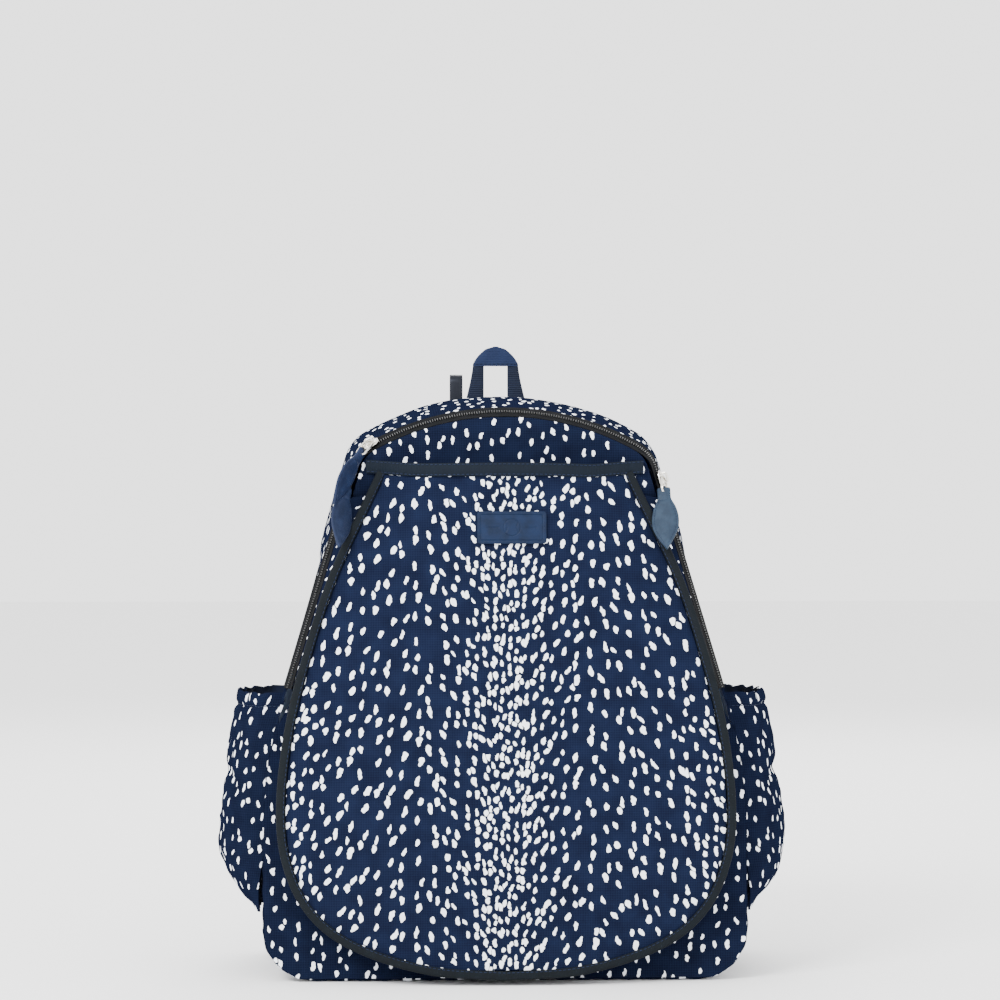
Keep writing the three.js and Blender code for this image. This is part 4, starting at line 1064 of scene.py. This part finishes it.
# ------------------------------------------------------------------ side pockets
def side_pockets():
    """Pocket cloth gathered on an elastic hem, with folds that fade downwards and a tuck at the bottom."""
    for side, sign in SIDES:
        u, v = grid(170, 130)
        z = lerp(POCKET_LOW, POCKET_TOP, v)
        gather = smooth(z, 110, 206)
        folds = np.sin(u * 61 + 2.4 * noise(u * 90, 0 * u, 17, 71 + sign))
        folds = folds * (0.6 + 0.4 * noise(u * 90, z, 30, 73 + sign))
        drape = 3.4 * noise(u * 110 + z * 0.35, z, 36, 75 + sign)
        drape = drape + 1.7 * noise(u * 120 - z * 0.5, z * 1.3, 15, 77 + sign)
        crease = z - (128 + 26 * np.sin(u * 3.0 + 0.6) + 5 * noise(u * 60, 0 * u, 18, 78 + sign))
        crease = -3.0 * np.exp(-((crease / 5.5) ** 2)) * smooth(u, 0.05, 0.25) * (1 - smooth(u, 0.6, 0.95))
        low_folds = np.sin(u * 38 + 2 * noise(u * 60, 0 * u, 15, 79 + sign)) * smooth(z, 78, 52) * 1.5
        hem = smooth(z, 199, 202) * (1 - smooth(z, 208, 210))
        waist = -2.0 * np.exp(-(((z - 199.5) / 2.2) ** 2))
        held = np.sin(np.pi * u) ** 0.5
        out = (1.5 * folds * gather + drape * (1 - 0.5 * gather) + crease + low_folds + hem * 0.6 + waist - 2.6) * held
        points = pocket_point(sign, u, z + 1.1 * folds * smooth(z, 190, 210), out)
        plain = pocket_point(sign, u, z, 0 * u)
        steps = np.linalg.norm(np.diff(plain, axis=0), axis=-1)
        along = np.insert(np.cumsum(steps, 0), 0, 0, 0)
        uv = np.stack([along, z], -1)
        obj = cloth(f"side_pocket_cloth_{side}", points, uv, 1.5, [canvas_wall_painted_shade, pocket_lining], OUT[side])
        finished(obj, "bag", [f"side_pocket_{side}", f"pocket_elastic_{side}"])
        normal = normals_of(points)
        normal *= np.sign(normal[85, 65, 0]) * sign
        row = int(np.argmin(np.abs(z[0] - 200)))
        path = points[:, row] + normal[:, row] * 0.15
        seam = stitches(f"pocket_hem_stitches_{side}", path, normal[:, row], thread)
        finished(seam, "bag")


# ------------------------------------------------------------------ back
def back_grid(nu, nv, inset):
    """x, height across the flat back, inside its outline."""
    u, v = grid(nu, nv)
    w = inset + (HEIGHT - 2 * inset) * (0.5 - 0.5 * np.cos(np.pi * v)) ** 0.9
    top = np.sqrt(np.maximum(TOP_RADIUS**2 - (w - HEIGHT + TOP_RADIUS) ** 2, 0))
    reach = np.where(w > OUTLINE[TOP_POINT, 1], top, half_width(np.maximum(w, CORNER)))
    reach = np.where(w < CORNER, HALF_WIDTH - corner_cut(w), reach) - inset
    return (2 * u - 1) * np.maximum(reach, 2), w


TOP_POINT = int(np.argmin(np.abs(SHARE - TOP_END)))


def back():
    x, w = back_grid(120, 150, 1.0)
    z = w * math.cos(LEAN) + rise(w)
    uv = np.stack([x, z], -1)
    obj = cloth("back_lining_cloth", place(x, BACK_Y + 0.4 + 0 * x, z), uv, -0.9, [lining], OUT["front"])
    finished(obj, "bag", ["back_lining"])

    # Air-mesh pad, sewn down in channels.
    near = np.minimum(np.minimum(z, (z.max() - z) * 0.9), half_width(np.clip(w, CORNER, HEIGHT - 3)) - np.abs(x))
    border = smooth(near, 2, 24)
    spine = 1 - np.exp(-((x / 7) ** 2))
    channels = (95, 175, 255, 335)
    rows = 1 - sum(np.exp(-(((z - level - 18 * (np.abs(x) / 100) ** 2) / 5) ** 2)) for level in channels)
    swell = 5.2 * border * np.minimum(spine, np.clip(rows, 0, 1)) + 0.4 * noise(x, z, 40, 91)
    pad = cloth("back_pad_mesh", place(x, BACK_FACE - 1.6 + swell, z), uv, 1.6, [mesh_cloth], OUT["back"])
    finished(pad, "bag", ["back_panel"])
    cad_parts["back_foam"].data.materials.clear()
    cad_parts["back_foam"].data.materials.append(foam)

    # Binding over the back seam.
    s = np.linspace(-1, 1, 560)
    ex, ew, nx, nw = edge(s)
    across = np.stack([nx, 0 * nx, nw], -1)
    out = np.tile([0.0, 1.0, 0.0], (len(s), 1))
    height = np.maximum(ew * math.cos(LEAN) + rise(ew) + nw * 1.5, 3.4)
    centre = place(ex + nx * 1.5, (BACK_Y + BACK_FACE) / 2 + 0.3, height)
    obj = sweep("back_binding_tape", centre, across, out, rounded_section(1.3, 5.0, 18), [binding])
    finished(obj, "bag", ["back_seam_binding"])

    # Slip pocket on the lining.
    u, v = grid(80, 60)
    x, z = (2 * u - 1) * 109, 56 + v * 188
    y = BACK_Y - 1.7 - 1.6 * np.sin(np.pi * u) * v**2 + 0.4 * noise(x, z, 35, 95)
    obj = cloth("slip_pocket_cloth", place(x, y, z), np.stack([x, z], -1), 0.8, [lining], OUT["front"])
    finished(obj, "bag", ["inner_slip_pocket"])


# ------------------------------------------------------------------ hang loop and fence hook
def outline_plate(name, points, y, thick, material, swell=0.0):
    """A flat strip between two outlines, (x left, x right, height) row by row, with soft edges."""
    rings, uv = [], []
    for left, right, z in points:
        half = (right - left) / 2
        section = rounded_section(half, thick / 2, 28, 4.5)
        puff = swell * (1 - (section[:, 0] / half) ** 2) * np.sign(section[:, 1])
        rings.append(np.stack([(left + right) / 2 + section[:, 0], y + section[:, 1] + puff, z + 0 * puff], -1))
        uv += [(z, a) for a in section[:, 0]]
    return body_of_rings(name, rings, [material], uv)


def hang_loop():
    """Webbing folded into a loop: two legs beside a window, under a roof where the fold is sewn flat."""
    low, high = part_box("loop_foot")
    y, x0 = (low.y + high.y) / 2 / MM, (low.x + high.x) / 2 / MM
    for side, sign in SIDES:
        rows = []
        for z in np.linspace(406, 463, 46):
            outer = lerp(24.0, 17.0, smooth(z, 425, 468)) + 0.3 * math.sin(z / 6)
            inner = 9.3 - 0.9 * float(smooth(z, 430, 406))
            rows.append((x0 + min(sign * inner, sign * outer), x0 + max(sign * inner, sign * outer), z))
        leg = outline_plate(f"hang_loop_leg_{side}", rows, y, 2.3, web)
        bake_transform(leg)
        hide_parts("loop_foot", "hang_loop")
        box = np.array([(sign * 16 + a, z) for a, z in ((-5, 409), (5, 409), (5, 428), (-5, 428), (-5, 409), (5, 428))])
        path = np.concatenate([np.linspace(box[k], box[k + 1], 12, endpoint=False) for k in range(5)])
        row = np.stack([x0 + path[:, 0], y + 1.15 + 0 * path[:, 0], path[:, 1]], -1)
        seam = stitches(f"hang_loop_stitches_{side}", row, np.tile([0.0, 1.0, 0.0], (len(row), 1)), thread)
        finished(seam, "bag")
    rows = []
    for t in np.linspace(0, 1, 30):
        z = 460.4 + 15.4 * t
        half = 18.4 * (1 - t) + 5.2 * t + 2.2 * math.sin(math.pi * t)
        half = half - 3.6 * float(smooth(t, 0.86, 1.0)) - 0.6 * float(smooth(t, 0.06, 0))
        rows.append((x0 - half, x0 + half, z))
    # The roof takes the lighter webbing, painted light for its upturned face.
    roof = outline_plate("hang_loop_roof", rows, y, 3.4, web_painted_light, 0.35)
    finished(roof, "hang_loop_body")
    row = np.stack([x0 + np.linspace(-16.5, 16.5, 40), y - 2.0 + np.zeros(40), np.full(40, 462.0)], -1)
    seam = stitches("hang_loop_roof_stitches", row, np.tile([0.0, -1.0, 0.0], (40, 1)), thread)
    finished(seam, "hang_loop_body")


def fence_hook():
    """Coated steel hook in a webbing tunnel."""
    bevelled("fence_hook", "fence_hook_metal", "fence_hook_body", black_steel, 0.5)
    low, high = box_mm("hook_sleeve")
    x, y = (low + high)[0] / 2, (low + high)[1] / 2
    half, thick = (high - low)[0] / 2, (high - low)[1] / 2
    rings, uv, count = [], [], 40
    outside, inside = rounded_section(half - 0.05, thick - 0.05, count, 5), rounded_section(half - 0.9, 1.5, count, 6)
    for section, heights in ((outside, np.linspace(low[2], high[2], 26)), (inside, np.linspace(high[2], low[2], 8))):
        for z in heights:
            rings.append(np.stack([x + section[:, 0], y + section[:, 1], z + 0 * section[:, 0]], -1))
            uv += [(z, a) for a in np.linspace(0, 50, count)]
    rings = np.array(rings)
    index = np.arange(rings.shape[0] * count).reshape(-1, count)
    ahead, over = np.roll(index, -1, 1), np.roll(index, -1, 0)
    faces = np.stack([index, ahead, np.roll(over, -1, 1), over], -1).reshape(-1, 4)
    obj = new_object("hook_sleeve_webbing", rings.reshape(-1, 3), faces, [web], None, uv)
    finished(obj, "bag", ["hook_sleeve"])


# ------------------------------------------------------------------ shoulder straps
def strap_path(sign, v):
    """x, y, height and half width down a strap, from its top seam to its buckle."""
    start = BACK_FACE + 3.2
    x = sign * lerp(*STRAP_X, v)
    out = start + STRAP_BELLY * np.sin(np.pi * np.minimum(1, v * 1.02)) ** 0.8 + STRAP_FLARE * v
    return x, out, lerp(*STRAP_HEIGHT, v), lerp(*STRAP_WIDE, smooth(v, 0.35, 1)) / 2


def shoulder_straps():
    for side, sign in SIDES:
        v = np.concatenate([[0.003], np.linspace(0.012, 0.988, 96), [0.997]])
        x, y, z, half = strap_path(sign, v)
        close = np.minimum(1, np.sqrt(np.minimum(v, 1 - v) / 0.02))
        centre = place(x, y + 4.5, z)
        ahead = unit(np.gradient(centre, axis=0))
        across = np.tile([1.0, 0.0, 0.0], (len(v), 1))
        out = unit(np.cross(ahead, across) * -1)
        out *= np.sign(out[:, 1:2])
        section = rounded_section(1.0, 1.0, 44, 3.2)
        rings = centre[:, None] + section[None, :, :1] * across[:, None] * (half * 0.95)[:, None, None]
        rings = rings + section[None, :, 1:] * out[:, None] * (2.9 * close)[:, None, None]
        along = lengths(centre)
        uv = [(section[k, 0] * h, a) for a, h in zip(along, half) for k in range(44)]
        pad = body_of_rings(f"strap_pad_cloth_{side}", rings, [canvas_wall_painted_shade, mesh_cloth], uv, 60, lambda k: int(k > 22))
        inflate(pad, 3.0, 2.2)
        finished(pad, f"shoulder_strap_{side}", [f"strap_pad_{side}"])
        for edge_side in (-1, 1):
            rail = centre + across * (half * 0.95 * edge_side)[:, None]
            name = f"strap_piping_{side}_{'in' if edge_side * sign < 0 else 'out'}"
            round_section = rounded_section(1.5, 2.0, 12, 2)
            piping = sweep(name, rail[1:-1], across[1:-1], out[1:-1], round_section, [binding])
            finished(piping, f"shoulder_strap_{side}")
        # Bound upper end, sewn through with two rows.
        end = centre[1] + np.outer(np.linspace(-1, 1, 30) * half[1] * 0.93, across[1])
        rail_out = np.tile(unit(-ahead[1]), (30, 1))
        end_section = rounded_section(3.2, 1.6, 14, 3)
        obj = sweep(f"strap_end_binding_{side}", end, np.tile(out[1], (30, 1)), rail_out, end_section, [binding])
        finished(obj, f"shoulder_strap_{side}")
        for k, drop in enumerate((6.0, 16.0)):
            at = int(np.argmin(np.abs(along - drop)))
            row = centre[at] + out[at] * 4.5 + np.outer(np.linspace(-1, 1, 30) * half[at] * 0.72, across[at])
            row = row - np.outer(1.1 * np.linspace(-1, 1, 30) ** 4, out[at])
            seam = stitches(f"strap_top_stitches_{side}_{k}", row, np.tile(out[at], (30, 1)), thread)
            finished(seam, f"shoulder_strap_{side}")
        # Flat webbing sewn down the middle of the pad, which runs on to the buckle.
        low = slice(50, len(v) - 1)
        ridge = centre[low] + out[low] * 4.3
        obj = sweep(f"strap_tape_{side}", ridge, across[low], out[low], rounded_section(12.0, 0.7, 20, 5), [web])
        finished(obj, f"shoulder_strap_{side}")
        strap_body = f"shoulder_strap_{side}"
        bevelled(f"buckle_{side}", f"buckle_moulding_{side}", strap_body, plastic, 0.9)
        webbing_below(side, sign)


def webbing_below(side, sign):
    """Webbing from the base corner up to the buckle, and the tail that hangs from it with a folded end."""
    low, high = box_mm(f"buckle_{side}")
    buckle = np.array([(low + high)[0] / 2, low[1] - 1.3, (low + high)[2] / 2 - 4])
    tab = place(sign * 150.0, BACK_FACE + 1.3, 44.0)
    t = np.linspace(0, 1, 50)
    centre = lerp(tab, buckle, t[:, None])
    centre[:, 1] += 1.2 * np.sin(np.pi * t)
    across = unit(np.cross(buckle - tab, [0.0, 1.0, 0.0]))
    across = np.tile(across, (50, 1))
    out = unit(np.cross(across, np.gradient(centre, axis=0)))
    out *= np.sign(out[:, 1:2])
    obj = sweep(f"lower_webbing_{side}", centre, across, out, rounded_section(12.4, 0.75, 20, 5), [web])
    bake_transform(obj)
    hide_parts(f"strap_webbing_{side}")
    low, high = box_mm(f"strap_tail_{side}")
    x, y = (low + high)[0] / 2, (low + high)[1] / 2
    z = np.linspace(high[2], low[2], 60)
    t = np.linspace(0, 1, 60)
    centre = np.stack([x + 1.5 * np.sin(2.2 * t) * t, y + 0.8 * np.sin(5 * t) * t, z], -1)
    thick = 0.75 + 0.75 * smooth(t, 0.86, 0.9)
    section = np.stack([rounded_section(12.4, 1.0, 20, 5)] * 60)
    section[..., 1] *= thick[:, None]
    across, out = np.tile([1.0, 0.0, 0.0], (60, 1)), np.tile([0.0, 1.0, 0.0], (60, 1))
    obj = sweep(f"webbing_tail_{side}", centre, across, out, section, [web])
    finished(obj, f"shoulder_strap_{side}", [f"strap_tail_{side}"])


# ------------------------------------------------------------------ camera, floor and light
def studio():
    scene = bpy.context.scene
    distance, frame_width, eye, azimuth = 2.5, 0.76, 0.3546, math.radians(-2)
    camera = bpy.data.cameras.new("camera")
    camera.sensor_width = 36
    camera.lens = 36 * distance / frame_width
    camera.clip_end = 50
    obj = bpy.data.objects.new("camera", camera)
    scene.collection.objects.link(obj)
    aim = Vector((-0.0019, SHIFT * MM, eye))
    obj.location = aim + Vector((math.sin(azimuth) * distance, -math.cos(azimuth) * distance, 0))
    obj.rotation_euler = (aim - obj.location).to_track_quat("-Z", "Y").to_euler()
    scene.camera = obj

    mesh = bpy.data.meshes.new("floor")
    reach = 9
    corners = [(-reach, -reach, 0), (reach, -reach, 0), (reach, reach, 0), (-reach, reach, 0)]
    mesh.from_pydata(corners, [], [(0, 1, 2, 3)])
    floor = bpy.data.objects.new("floor", mesh)
    floor.location.z = -0.0003
    scene.collection.objects.link(floor)
    g = Graph("floor_paper", Roughness=0.9, Specular_IOR_Level=0.1)
    g.shader.inputs["Base Color"].default_value = (0.9, 0.9, 0.9, 1)
    mesh.materials.append(g.material)

    world = bpy.data.worlds.new("studio")
    scene.world = world
    world.use_nodes = True
    world.node_tree.nodes["Background"].inputs["Color"].default_value = (1, 1, 1, 1)
    world.node_tree.nodes["Background"].inputs["Strength"].default_value = 2.5
    lamps = (
        ("key", (-1.5, -2.0, 2.1), 1.1, 125),
        ("fill", (1.8, -2.0, 0.8), 1.8, 26),
        ("rim", (0.3, 2.0, 1.8), 1.4, 40),
    )
    for name, at, size, power in lamps:
        light = bpy.data.lights.new(name, "AREA")
        light.size, light.energy = size, power
        lamp = bpy.data.objects.new(name, light)
        lamp.location = at
        lamp.rotation_euler = (Vector((0, 0, 0.25)) - Vector(at)).to_track_quat("-Z", "Y").to_euler()
        scene.collection.objects.link(lamp)


studio()
body()
inner_front()
racket_pocket()
mouth()
label()
zips()
sliders()
side_pockets()
back()
hang_loop()
fence_hook()
shoulder_straps()
